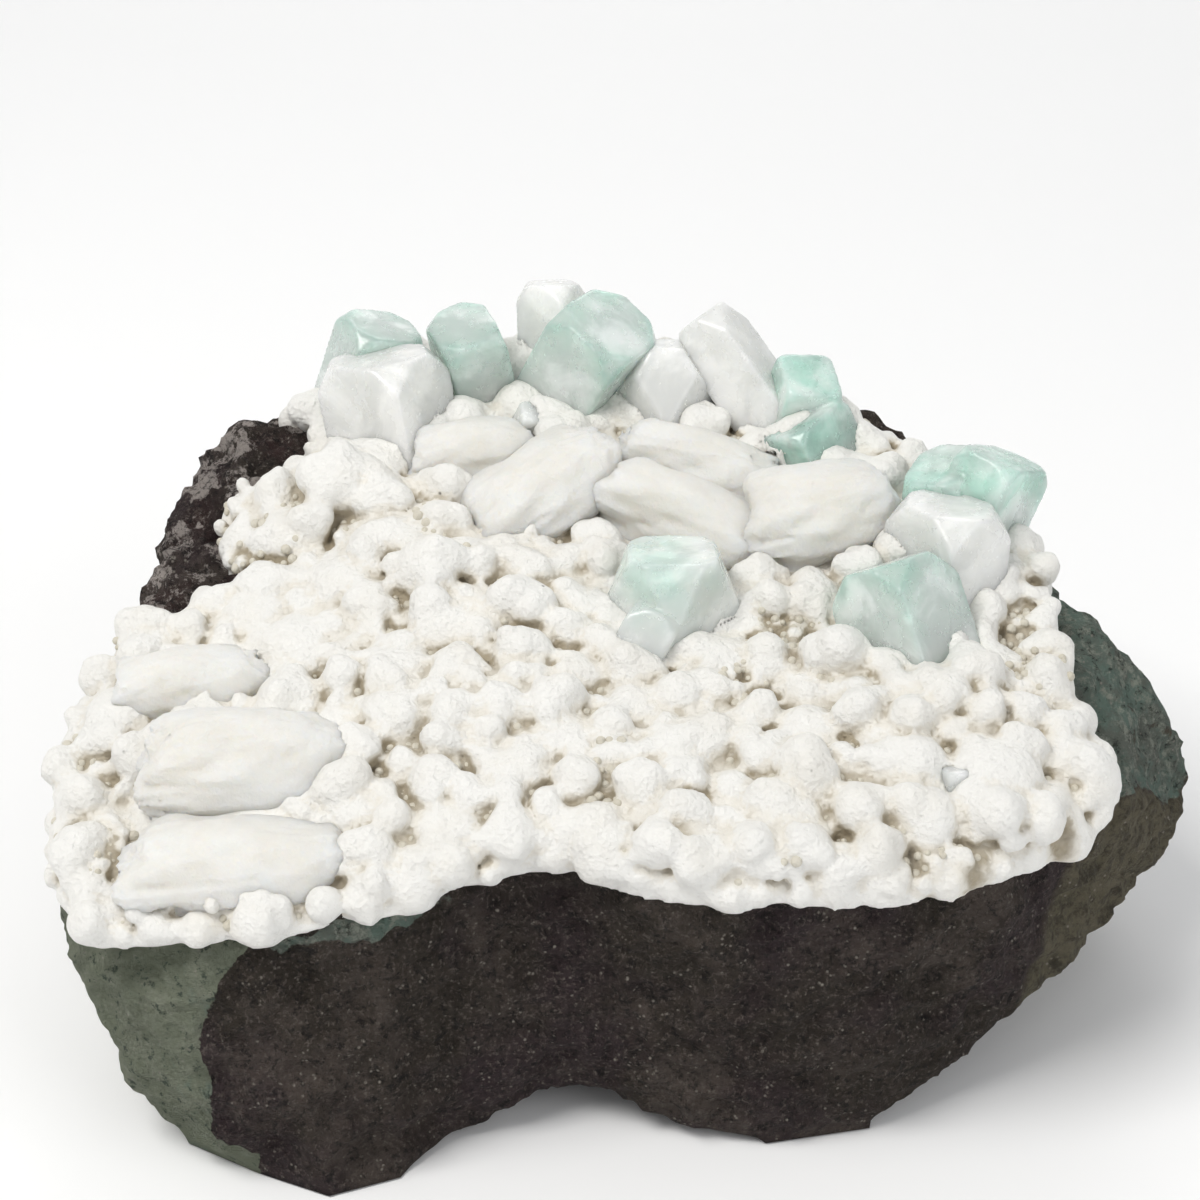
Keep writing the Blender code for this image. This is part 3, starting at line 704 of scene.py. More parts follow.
@dataclass
class BasaltBlock:
    """The block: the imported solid, cut fine, softened and broken up again by fractal unevenness."""

    cuts: int = 9
    softening: int = 14
    heights: tuple = ((15.0, 1.2), (6.5, 1.5), (2.1, 0.75))
    seed: int = 5
    border_heights: tuple = (3.8, 5.9, 8.3, 15.8, 22, 26.6, 32, 36.3, 41.4)
    border_places: tuple = (-47, -50, -53.5, -53, -53.4, -52, -50, -46, -38.6)

    def shape(self) -> bpy.types.Object:
        """Moves each point along its normal by three sizes of noise, less at the flat sole.

        Returns: the block, with its skins marked.
        """
        obj = merged_copy("basalt_matrix", "block_of_basalt")
        bm = bmesh.new()
        bm.from_mesh(obj.data)
        cuts = self.cuts
        bmesh.ops.subdivide_edges(bm, edges=bm.edges, cuts=cuts, use_grid_fill=True)
        bmesh.ops.triangulate(bm, faces=bm.faces)
        bm.to_mesh(obj.data)
        bm.free()
        mesh = obj.data
        ends = np.empty(len(mesh.edges) * 2, np.int32)
        mesh.edges.foreach_get("vertices", ends)
        one, two = ends[::2], ends[1::2]
        at = self.eroded(places(mesh))
        sole = at[:, 2] < 0.05
        degree = np.bincount(one, minlength=len(at)) + np.bincount(two, minlength=len(at))
        for _ in range(self.softening):
            total = np.stack([np.bincount(one, at[two, i], len(at)) + np.bincount(two, at[one, i], len(at))
                              for i in range(3)], axis=1)
            eased = at + 0.5 * (total / degree[:, None] - at)
            at = np.where(sole[:, None], at, eased)
        self.store(mesh, at)
        normals = np.empty(len(at) * 3, np.float32)
        mesh.vertices.foreach_get("normal", normals)
        normals = normals.reshape(-1, 3)
        height = self.unevenness(at)
        lumps = np.exp(-(((at[:, 0] + 57) / 12) ** 4 + ((at[:, 1] - 31) / 24) ** 4))
        lumps = lumps * np.clip(at[:, 2] / 10 - 4, 0, 1)
        height += lumps * (1.9 - 7 * np.abs(Noise(14).fractal(at, 7.0, 4, 0.62)))
        height *= np.clip((at[:, 2] - 0.2) / 4, 0, 1)
        moved = at + normals * height[:, None]
        moved[:, 2] = np.maximum(moved[:, 2], 0)
        moved[sole, 2] = 0
        self.store(mesh, moved)
        mesh.polygons.foreach_set("use_smooth", np.ones(len(mesh.polygons), bool))
        self.mark_skins(obj, moved, normals)
        return obj

    @staticmethod
    def eroded(at: np.ndarray) -> np.ndarray:
        """Sides moved by slow noise along x and y, and the left side pushed out.

        Args: at: points of the block, (n, 3).
        Returns: moved points, (n, 3).
        """
        noise = Noise(19)
        push = np.stack([noise.fractal(at, 17, 2), noise.fractal(at + 70, 17, 2), np.zeros(len(at))], axis=1)
        side = np.clip((at[:, 2] - 2) / 6, 0, 1) * np.clip((SEAT.rock(at[:, 0], at[:, 1]) - 3 - at[:, 2]) / 6, 0, 1)
        push[:, 0] -= (at[:, 0] < -48) * (0.9 + 1.3 * np.clip((at[:, 2] - 15) / 12, 0, 1))
        return at + 1.4 * push * side[:, None]

    def unevenness(self, at: np.ndarray) -> np.ndarray:
        """Sum of noises at three lengths; the middle one is folded at zero, which gives sharp ridges.

        Args: at: points, (n, 3).
        Returns: heights in millimetres, (n,).
        """
        noise = Noise(self.seed)
        (coarse, high), (middle, mid), (fine, low) = self.heights
        total = high * noise.fractal(at, coarse, 2)
        total += mid * (0.5 - 2 * np.abs(noise.fractal(at + 40, middle, 3)))
        return total + low * noise.fractal(at + 90, fine, 3)

    @staticmethod
    def store(mesh: bpy.types.Mesh, at: np.ndarray) -> None:
        """Puts points in millimetres into a mesh."""
        mesh.vertices.foreach_set("co", (at * MM).astype(np.float32).ravel())
        mesh.update()

    def mark_skins(self, obj: bpy.types.Object, at: np.ndarray, normals: np.ndarray) -> None:
        """Marks the green, teal, olive and rusty skins by place, direction and a ragged noise edge.

        Args: obj: the block; at: its points in millimetres, (n, 3); normals: theirs, (n, 3).
        """
        x, y, z = at.T
        ragged = Noise(9).fractal(at, 14, 4) * 5
        fine = Noise(10).fractal(at, 5, 3)
        patches = Noise(12).fractal(at * [1, 1, 1.3], 24, 4)
        border = np.interp(z, self.border_heights, self.border_places)
        left = step(border - x + 0.25 * ragged, 1.2) * step(6 - y + ragged, 5)
        left *= step(SEAT.rock(x, y) - z - 1.2 + fine, 1.0)
        band = step(2.0 - np.abs(z - SEAT.rock(x, y) + 2.4) + fine * 3, 1.2) * step(-x - 24 + ragged, 8) * (y < -20)
        ledge = step(normals[:, 2] - 0.3 + 0.3 * fine + 0.05 * ragged, 0.35) * step(x - 58, 2)
        ledge *= step(30 - y + 2 * ragged, 12)
        hidden = np.clip(0.22 + 1.5 * patches, 0, 0.53) * step(y - 6 + 2 * ragged, 14)
        hidden = hidden * step(abs(x) + y - 70 + ragged, 16)
        olive = step(x - 59.8 + 0.19 * (42.2 - z) + 0.8 * fine, 1.2) * (1 - ledge) * step(22 - y + 2 * ragged, 14)
        rust = step(-x - 40 + ragged, 8) * step(y - 6 + ragged, 6) * (z > 40)
        mark(obj, Zone.TEAL, np.clip(np.maximum.reduce([ledge, band, hidden * (1 - rust)]), 0, 1))
        mark(obj, Zone.GREEN, np.clip(left, 0, 1))
        mark(obj, Zone.OLIVE, np.clip(olive, 0, 1))
        mark(obj, Zone.RUST, rust)

    def build(self, finish: Finish) -> None:
        """Shapes, dresses and settles the block."""
        obj = self.shape()
        finish.dress(obj)
        settle(obj, Mineral.BASALT, "basalt_matrix")


@dataclass(frozen=True)
class GemForm:
    """A blocky crystal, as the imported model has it."""

    centre: tuple
    half: tuple
    keep: float
    toward: float = 0
    lean: float = 0
    roll: float = 0
    root: float = 0
    steep: float = 1.15

    def planes(self, x: np.ndarray, y: np.ndarray, z: np.ndarray) -> np.ndarray:
        """Distances to its planes: four sides, two ends and four upper corner facets.

        Args: x, y, z: places in millimetres.
        Returns: one layer for each plane.
        """
        turn = turned(self.toward, self.lean, self.roll)
        across, back, up = (turn[0, i] * (x - self.centre[0]) + turn[1, i] * (y - self.centre[1])
                            + turn[2, i] * (z - self.centre[2]) for i in range(3))
        wide, deep, tall = self.half
        reach = self.keep * (wide + deep + self.steep * tall)
        norm = math.sqrt(2 + self.steep**2)
        facets = [(a * across + b * back + self.steep * up - reach) / norm for a in (1, -1) for b in (1, -1)]
        return np.stack([across - wide, -across - wide, back - deep, -back - deep, up - tall,
                         -up - tall - self.root, *facets])

    def distance(self, x: np.ndarray, y: np.ndarray, z: np.ndarray) -> np.ndarray:
        """Largest distance to its planes."""
        return np.max(self.planes(x, y, z), axis=0)

    def worn(self, x: np.ndarray, y: np.ndarray, z: np.ndarray, sharpness: float) -> np.ndarray:
        """Rounded largest distance: log of the sum of exp(k d) over k, which wears the edges.

        Args: x, y, z: places; sharpness: k.
        Returns: distances in millimetres.
        """
        planes = self.planes(x, y, z)
        largest = np.max(planes, axis=0)
        return largest + np.log(np.sum(np.exp(sharpness * (planes - largest)), axis=0)) / sharpness

    def edge(self, at: np.ndarray) -> np.ndarray:
        """How near to an edge points of its skin lie: exp of the second largest distance over 1.1 mm."""
        second = np.sort(self.planes(*at.T), axis=0)[-2]
        return np.exp(np.minimum(second, 0) / 1.1)


GEMS = {
    "apophyllite_left": [GemForm((-36.5, 53, 73), (5.6, 5, 5), 0.83, 3, 18, 24, 5)],
    "apophyllite_back": [GemForm((-22.2, 51, 74), (5.2, 4.6, 5.8), 0.82, 240, 20, 53, 5)],
    "apophyllite_centre": [GemForm((-3.8, 49, 75.2), (6.4, 6.6, 6.4), 0.81, 320, 30, 4, 5)],
    "apophyllite_back_right": [
        GemForm((26.6, 41.9, 72.4), (4.2, 4.2, 3.4), 0.9, 304, 24, 69, 5),
        GemForm((27.6, 37, 66.2), (5.8, 4.6, 4.6), 0.86, 168, 24, 59, 3),
    ],
    "apophyllite_right": [
        GemForm((51.5, 22.5, 65), (6.6, 4.6, 6.2), 0.86, 30, 24, 20, 4),
        GemForm((46.2, 24, 64.5), (5.2, 4.6, 5.4), 0.84, 190, 18, 50, 4),
    ],
    "apophyllite_front": [GemForm((37.3, 2, 59), (6.6, 6.1, 6.4), 0.78, 122, 34, 14, 2)],
    "apophyllite_middle": [
        GemForm((6.8, 6, 57.2), (7, 7, 8), 0.7, 90, 8, 45, 2, 0.6),
        GemForm((2.2, -2.4, 54.3), (3.6, 3.6, 6.5), 0.82, 41, 38, 30, 2),
    ],
    "small_prism_back": [GemForm((-13.2, 41.6, 67.6), (2, 2, 2.2), 0.92, 315, 30, 59, 3)],
    "small_prism_front": [GemForm((42, -27, 48.6), (2, 1.8, 3.6), 0.9, 100, 14, 10, 3)],
    "stilbite_block_left": [GemForm((-34, 43, 69.8), (7.6, 6.4, 7.2), 0.8, 133, 13, 14, 4)],
    "stilbite_block_back": [GemForm((-10, 57, 76), (4.2, 3.8, 6.4), 0.8, 93, 14, 55, 6)],
    "stilbite_blade_centre": [GemForm((18, 46, 72.4), (4.4, 4, 11), 0.8, 145, 45, 12, 1, 0.8)],
    "stilbite_block_centre": [GemForm((6.6, 47, 68.6), (6.5, 6.5, 8.6), 0.56, 90, 5, 45, 3, 1.0)],
    "stilbite_block_right": [GemForm((44.5, 13, 61.6), (7, 5.6, 7), 0.78, 71, 8, 54, 3)],
}


@dataclass(frozen=True)
class SheafForm:
    """Fanned stilbite blades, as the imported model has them."""

    centre: tuple
    half: tuple
    lie: float
    rise: float
    face: float
    blades: int = 3
    fan: float = 9


SHEAVES = {
    "stilbite_sheaf_left": SheafForm((-49.5, -21.5, 48.6), (8.5, 3.4, 12.6), 8, 4, 62),
    "stilbite_sheaf_front_left": SheafForm((-49, -35.5, 43.6), (6, 2.6, 12.6), 6, 3, 70),
    "stilbite_sheaf_far_left": SheafForm((-58.5, -6, 51), (5, 2.4, 10), 16, 6, 66),
    "stilbite_sheaf_back_left": SheafForm((-20.7, 36, 64), (5, 2.6, 9.2), 10, 8, 72),
    "stilbite_sheaf_middle": SheafForm((-11.5, 26, 63.6), (7, 2.8, 11), 28, 28, 74),
    "stilbite_sheaf_centre": SheafForm((7.8, 22.6, 62.2), (4.8, 2.5, 12.2), -16, -14, 72),
    "stilbite_sheaf_behind": SheafForm((10.5, 33, 64.6), (4, 2.3, 11), -8, -6, 66),
    "stilbite_sheaf_centre_right": SheafForm((27.2, 22.6, 62.4), (7.2, 3, 10), 12, 10, 76),
}


@dataclass
class BotryoidalCrust:
    """Ground mass and balls fused in one skin, with smaller balls on the large ones and a knobbly surface."""

    grades: tuple = ((2.8, 4.3, 0.82, 2600), (1.8, 2.7, 0.8, 2600))
    fine_grade: tuple = (0.9, 1.6, 0.66, 9000)
    edge: float = 0.35
    bare: tuple = ((-65, -33, 3.5), (-70, -16, 3), (23, 0, 5.5), (53, 3, 5), (16, -9, 4), (14, 38, 4),
                   (-2, -28, 3.5), (37, -36, 3.5), (-48, 17, 3))
    sandy: tuple = ((21, 0, 4.5), (55, -5, 5), (16, 40, 4), (44, -37, 4), (56, -31, 3), (-2, -23, 2.5), (-52, 20, 4),
                    (-64, -33, 4), (-69, -16, 3.5), (-26, 19, 3), (-21, 10, 2.5))
    single: tuple = ((11.5, 40.5, 67.6, 3.3), (-39.5, 26, 66.5, 4.6), (-33.5, 24, 65, 4), (-26.5, 10, 61.5, 4.4))
    drawn_in: tuple = ((-56, 41, 6.5, 9.0), (-62, 15, 4.5, 8.0), (42, 45, 7.0, 7.0), (60, -6, 2.5, 6.0),
                       (-57.4, 34.5, 3.5, 4.0))
    masses: tuple = (
        (-30, -6, 6.2), (-12, -10, 5.2), (4, -30, 5.0), (-33, -28, 5.2), (20, -30, 5.6), (47, -24, 6.4),
        (34, -18, 5.2),
        (-44, 2, 5.6), (-18, 4, 5.0), (-6, 6, 4.6), (30, -9, 4.6), (-28, 20, 5.6), (-36, 34, 5.4), (56, -18, 4.8),
        (-64, 4, 4.6), (-66, -10, 4.6), (-38, 12, 5.2), (-14, -24, 4.8), (10, -18, 4.6),
        (-24, 2, 4.8), (-8, -18, 4.6), (2, -12, 4.6), (-36, -14, 4.8), (13, -3, 4.2), (-22, -32, 4.8), (-22, 13, 4.4),
        (-50, 8, 5.0), (-46, 22, 4.8), (24, -17, 4.4), (40, -12, 4.6), (-28, 28, 4.8), (10, -35, 4.6), (34, -29, 4.8),
    )
    cell: float = 0.5
    seed: int = 11
    limit: int = 190000
    softness: float = 3.0
    sunk: float = 1.0
    edge_drop: float = 2.6
    edge_reach: float = 1.6
    gem_gap: float = 0.25
    past_rim: float = 2.8

    def balls(self) -> np.ndarray:
        """Darts that stick where no bigger ball stands too close.

        Returns: rows of x, y, z and radius.
        """
        rng = np.random.default_rng(self.seed)
        low, high = np.min(SEAT.plan, axis=0), np.max(SEAT.plan, axis=0)
        kept = np.array(self.single)
        for smallest, largest, crowding, throws in (*self.grades, self.fine_grade):
            spots = rng.uniform(low, high, (throws, 2))
            radii = smallest + (largest - smallest) * rng.random(throws) ** 1.6
            lifts = rng.uniform(-0.35, 0.45, throws)
            fits = SEAT.inside(*spots.T) > self.edge * radii
            if largest > 1.7:
                for x, y, reach in self.bare:
                    fits &= np.hypot(spots[:, 0] - x, spots[:, 1] - y) > reach
            for (x, y), radius, lift in zip(spots[fits], radii[fits], lifts[fits]):
                apart = np.hypot(kept[:, 0] - x, kept[:, 1] - y)
                if np.any(apart < crowding * (kept[:, 3] + radius)):
                    continue
                kept = np.vstack((kept, (x, y, float(SEAT.ground(x, y)) + lift * radius, radius)))
        return kept

    def rim(self, x: np.ndarray, y: np.ndarray) -> np.ndarray:
        """Distance to a ragged outline: the plan's own, moved by noise, and drawn in at the outcrop.

        Args: x, y: places in millimetres.
        Returns: distances, positive inside.
        """
        spots = np.stack([x.ravel(), y.ravel(), np.zeros(x.size)], axis=1)
        ragged = 1.5 * Noise(24).fractal(spots, 7.0, 3).reshape(x.shape)
        bare = sum(back * np.exp(-((x - bx) ** 2 + (y - by) ** 2) / reach**2)
                   for bx, by, back, reach in self.drawn_in)
        return SEAT.inside(x, y) + ragged - bare

    def edging(self) -> np.ndarray:
        """Balls along the outline that hang over the edge of the block.

        Returns: rows of x, y, z and radius.
        """
        rng = np.random.default_rng(self.seed + 2)
        corners = np.array(SEAT.plan + SEAT.plan[:1], float)
        lengths = np.hypot(*np.diff(corners, axis=0).T)
        along = np.cumsum(np.concatenate([[0], lengths]))
        stops = np.arange(0, along[-1], 3.6) + rng.uniform(-1.4, 1.4, int(np.ceil(along[-1] / 3.6)))
        spots = np.stack([np.interp(stops, along, corners[:, i]) for i in (0, 1)], axis=1)
        radii = 1.1 + 2.1 * rng.random(len(stops)) ** 1.3
        inward = spots * (1 - (radii * rng.uniform(0.2, 1.1, len(stops)) / np.hypot(*spots.T))[:, None])
        keep = self.rim(*inward.T) > -0.5
        x, y, radii = inward[keep, 0], inward[keep, 1], radii[keep]
        return np.stack([x, y, SEAT.rock(x, y) + radii * rng.uniform(-0.1, 1.0, len(x)), radii], axis=1)

    def swell(self, x: np.ndarray, y: np.ndarray) -> np.ndarray:
        """Height added by clusters: two sizes of noise over the plan.

        Args: x, y: places in millimetres.
        Returns: heights in millimetres.
        """
        spots = np.stack([x.ravel(), y.ravel(), np.zeros(x.size)], axis=1)
        noise = Noise(23)
        high = 1.5 * noise.at(spots, 12.0) + 0.9 * noise.at(spots + 60, 6.0)
        return high.reshape(x.shape).astype(float)

    @staticmethod
    def under_sheaves(balls: np.ndarray) -> np.ndarray:
        """Which balls stand in a sheaf's plan, where it would hide behind them.

        Args: balls: rows of x, y, z and radius.
        Returns: one truth value for each.
        """
        hidden = np.zeros(len(balls), bool)
        for form in SHEAVES.values():
            angle = math.radians(form.lie)
            dx, dy = balls[:, 0] - form.centre[0], balls[:, 1] - form.centre[1]
            along = dx * math.cos(angle) + dy * math.sin(angle)
            across = dy * math.cos(angle) - dx * math.sin(angle)
            hidden |= (along / (form.half[2] + 1)) ** 2 + ((across + 1) / (form.half[0] + 1.5)) ** 2 < 1
        return hidden & (balls[:, 3] > 1.2)

    def warts(self, balls: np.ndarray) -> np.ndarray:
        """Small balls half sunk in the upper half of each large ball.

        Returns: rows of x, y, z and radius.
        """
        rng = np.random.default_rng(self.seed + 1)
        large = balls[balls[:, 3] > 1.7]
        each = 4
        way = rng.normal(size=(len(large), each, 3))
        way[..., 2] = np.abs(way[..., 2]) * 0.8
        way /= np.linalg.norm(way, axis=2, keepdims=True)
        size = large[:, None, 3] * rng.uniform(0.4, 0.7, (len(large), each))
        place = large[:, None, :3] + way * (large[:, None, 3] - 0.35 * size)[..., None]
        return np.concatenate([place, size[..., None]], axis=2).reshape(-1, 4)

    def shape(self) -> tuple[bpy.types.Object, "Clay", np.ndarray]:
        """Fuses everything, knobs the skin, cuts the crystals out and meshes it.

        Returns: the crust, its box of cells and its distance field.
        """
        step = self.cell
        clay = Clay(np.array([-80.0, -50.0, 30.0]), np.array([70.0, 71.0, 80.0]), step, self.softness)
        x, y, z = (axis[tuple(slice(None) if i == j else None for j in range(3))]
                   for i, axis in enumerate(clay.axes))
        rim = self.rim(*np.broadcast_arrays(x[:, :, 0], y[:, :, 0]))[..., None]
        ground, rock = SEAT.ground(x, y), SEAT.rock(x, y)
        swell = self.swell(*np.broadcast_arrays(x[:, :, 0], y[:, :, 0]))[..., None]
        ground = ground + swell - self.sunk - self.edge_drop * np.exp(-np.maximum(rim, 0) / self.edge_reach)
        slab = np.maximum(np.maximum(z - ground, rock - SEAT.sink - z), 0.3 - rim)
        clay.add((slice(None),) * 3, slab)
        balls = self.balls()
        balls[:, 2] += self.swell(balls[:, 0], balls[:, 1]) - 0.3
        balls = balls[self.rim(balls[:, 0], balls[:, 1]) > self.edge * balls[:, 3] - 0.6]
        balls = balls[~self.under_sheaves(balls)]
        for mx, my, size in self.masses:
            clay.ball(mx, my, float(SEAT.ground(mx, my)) - 0.15 * size, size, 0.62)
        for row in np.vstack((balls, self.warts(balls), self.edging())):
            clay.ball(*row, tall=1.08)
        values = clay.distance()
        near = np.abs(values) < 1.3
        at = clay.points(near)
        noise = Noise(21)
        large, small = (np.abs(noise.fractal(at + shift, length, 2)) for shift, length in ((0, 4.2), (50, 2.0)))
        knobs = 0.5 * (0.3 - large) + 0.42 * (0.3 - small)
        values[near] -= knobs
        floor = np.maximum(rock - SEAT.sink - 0.2 - z, -rim - self.past_rim)
        values = np.maximum(values, floor)
        for forms in GEMS.values():
            for form in forms:
                reach = max(form.half) * 1.5 + form.root + 1
                centre = np.array(form.centre)
                cut, gx, gy, gz = clay.window(centre - reach, centre + reach)
                values[cut] = np.maximum(values[cut], -form.distance(gx, gy, gz) - self.gem_gap)
        values[0], values[-1], values[:, 0], values[:, -1], values[:, :, 0], values[:, :, -1] = (3.0,) * 6
        points, quads = net(values, clay.low, clay.step)
        obj = piece("crust_of_balls", points, quads)
        self.thin(obj)
        self.mark_gaps(obj, clay, values)
        self.mark_sand(obj)
        return obj, clay, values

    def thin(self, obj: bpy.types.Object) -> None:
        """Collapses the flattest faces until the piece is under its limit of triangles."""
        triangles = 2 * len(obj.data.polygons)
        if triangles > self.limit:
            fewer = obj.modifiers.new("fewer", "DECIMATE")
            fewer.ratio = self.limit / triangles
            applied(obj)
        obj.data.polygons.foreach_set("use_smooth", np.ones(len(obj.data.polygons), bool))

    def mark_sand(self, obj: bpy.types.Object) -> None:
        """Makes the ground of the bare patches sandy beige where it lies low, by raising the crevice share that also
        paints shade in the gaps.
        """
        attribute = obj.data.attributes[Zone.CREVICE.value]
        gap = np.empty(len(attribute.data), np.float32)
        attribute.data.foreach_get("value", gap)
        at = places(obj.data)
        low = np.clip((SEAT.ground(at[:, 0], at[:, 1]) + 1.6 - at[:, 2]) / 1.5, 0, 1)
        patch = sum(np.exp(-(((at[:, 0] - x) ** 2 + (at[:, 1] - y) ** 2) / (0.8 * size) ** 2) ** 2)
                    for x, y, size in self.bare + self.sandy)
        attribute.data.foreach_set("value", (gap + 0.5 * low * np.clip(patch, 0, 1)).astype(np.float32))

    @staticmethod
    def mark_gaps(obj: bpy.types.Object, clay: Clay, values: np.ndarray) -> None:
        """Marks how deep in a gap each point lies: the share of crust in the cells around it, by which the finishes
        paint shade.

        Args: obj: the piece; clay: its box of cells; values: its distance field.
        """
        around = blurred((values < 0).astype(np.float32), max(1, round(1.3 / clay.step)))
        normals = np.empty(len(obj.data.vertices) * 3, np.float32)
        obj.data.vertices.foreach_get("normal", normals)
        index = np.round((places(obj.data) + 1.0 * normals.reshape(-1, 3) - clay.low) / clay.step).astype(int)
        index = np.clip(index, 0, np.array(around.shape) - 1)
        # Painted shade: the finishes darken the gaps by this share.
        mark(obj, Zone.CREVICE, around[tuple(index.T)] * 1.55)

    def build(self, finish: Finish, bead_finish: Finish) -> None:
        """Shapes, dresses and settles the crust and the beads in its gaps."""
        obj, clay, values = self.shape()
        finish.dress(obj)
        settle(obj, Mineral.CRUST, "botryoidal_crust")
        Beads().build(clay, values, self.bare + self.sandy, bead_finish)


@dataclass
class Beads:
    """Tiny beige balls strewn in the hollows of the crust."""

    throws: int = 36000
    radii: tuple = (0.35, 0.8)
    seed: int = 31
    most: int = 1500

    def places(self, clay: Clay, values: np.ndarray, bare: tuple) -> np.ndarray:
        """Finds spots where the crust's top lies lower than its surroundings.

        Args: clay: box of cells; values: distance field; bare: patches with more beads.
        Returns: rows of x, y, z and radius.
        """
        inside = values < 0
        top_index = inside.shape[2] - 1 - np.argmax(inside[:, :, ::-1], axis=2)
        top = np.where(inside.any(axis=2), clay.axes[2][top_index], np.nan)
        rng = np.random.default_rng(self.seed)
        low, high = np.min(SEAT.plan, axis=0), np.max(SEAT.plan, axis=0)
        spots = rng.uniform(low, high, (self.throws, 2))
        radii = rng.uniform(*self.radii, self.throws)
        i = np.round((spots[:, 0] - clay.low[0]) / clay.step).astype(int)
        j = np.round((spots[:, 1] - clay.low[1]) / clay.step).astype(int)
        reach = max(2, round(2.6 / clay.step))
        ring = [(round(reach * math.cos(a)), round(reach * math.sin(a))) for a in np.arange(8) * math.pi / 4]
        around = np.stack([top[np.clip(i + a, 0, top.shape[0] - 1), np.clip(j + b, 0, top.shape[1] - 1)]
                           for a, b in ring])
        here = top[i, j]
        low_here = np.nanmean(around, axis=0) - here
        patch = np.zeros(self.throws, bool)
        for x, y, size in bare:
            patch |= np.hypot(spots[:, 0] - x, spots[:, 1] - y) < size
        good = np.isfinite(here) & (SEAT.inside(*spots.T) > 0.6) & ((low_here > 1.9) | (patch & (low_here > 0.3)))
        kept = np.zeros((0, 4))
        for (x, y), z, radius in zip(spots[good], here[good], radii[good]):
            apart = np.hypot(kept[:, 0] - x, kept[:, 1] - y)
            if len(kept) < self.most and not np.any(apart < 0.8 * (kept[:, 3] + radius)):
                kept = np.vstack((kept, (x, y, z + 0.25 * radius, radius)))
        return kept

    def build(self, clay: Clay, values: np.ndarray, bare: tuple, finish: Finish) -> None:
        """Repeats one small ball at every place, as whole arrays, and settles the piece."""
        rows = self.places(clay, values, bare)
        bm = bmesh.new()
        bmesh.ops.create_icosphere(bm, subdivisions=2, radius=1)
        bm.verts.ensure_lookup_table()
        shell = np.array([v.co for v in bm.verts])
        faces = np.array([[v.index for v in f.verts] for f in bm.faces])
        bm.free()
        points = (rows[:, None, :3] + shell[None] * rows[:, None, 3:]).reshape(-1, 3)
        every = (faces[None] + (np.arange(len(rows)) * len(shell))[:, None, None]).reshape(-1, 3)
        obj = piece("crust_beads", points, every)
        mark(obj, Zone.CREVICE, np.full(len(points), 0.0))
        finish.dress(obj)
        settle(obj, Mineral.CRUST)


@dataclass
class Gem:
    """A blocky crystal, or two grown together, with worn edges and low steps of growth on its faces."""

    node: str
    forms: list
    mineral: Mineral
    cell: float = 0.36
    sharpness: float = 7.0
    step_height: float = 0.12

    def shape(self) -> bpy.types.Object:
        """Fuses the rounded solids and lays growth steps on the faces.

        Returns: the crystal, with its edges and its green parts marked.
        """
        reach = np.array([max(f.half) * 1.65 + f.root + 1 for f in self.forms])[:, None]
        centres = np.array([f.centre for f in self.forms])
        low, high = np.min(centres - reach, axis=0), np.max(centres + reach, axis=0)
        clay = Clay(low, high, self.cell, 9.0)
        cut, x, y, z = clay.window(low, high)
        for form in self.forms:
            clay.add(cut, form.worn(x, y, z, self.sharpness))
        values = clay.distance()
        near = np.abs(values) < 0.8
        at = clay.points(near)
        noise = Noise(61)
        slow = noise.fractal(at, 6.0, 2)
        values[near] += self.step_height * (np.floor(slow * 5) / 5 + 0.5 * noise.fractal(at + 30, 1.8, 2))
        points, quads = net(values, clay.low, clay.step)
        obj = piece(self.node + "_crystal", points, quads)
        mark(obj, Zone.EDGE, np.max([form.edge(points) for form in self.forms], axis=0))
        mark(obj, Zone.GREEN, self.green(points))
        return obj

    def green(self, at: np.ndarray) -> np.ndarray:
        """How green the points are: more towards the tips, and in the middle crystal mostly at its top.

        Args: at: points, (n, 3).
        Returns: values from 0 to 1.
        """
        if self.node.startswith("small"):
            return np.full(len(at), 0.15)
        if self.mineral is Mineral.STILBITE:
            return np.zeros(len(at))
        if self.node != "apophyllite_middle":
            rise = np.max([(at - form.centre) @ turned(form.toward, form.lean, form.roll)[:, 2] / form.half[2]
                           for form in self.forms], axis=0)
            return np.clip(0.9 + 0.25 * rise, 0.5, 1)
        return 0.12 + 0.4 * np.clip((at[:, 2] - 58) / 6, 0, 1) * np.clip((12 - at[:, 0]) / 6, 0.25, 1)

    def build(self, finish: Finish) -> None:
        """Shapes, dresses and settles the crystal."""
        obj = self.shape()
        finish.dress(obj)
        settle(obj, self.mineral, self.node)


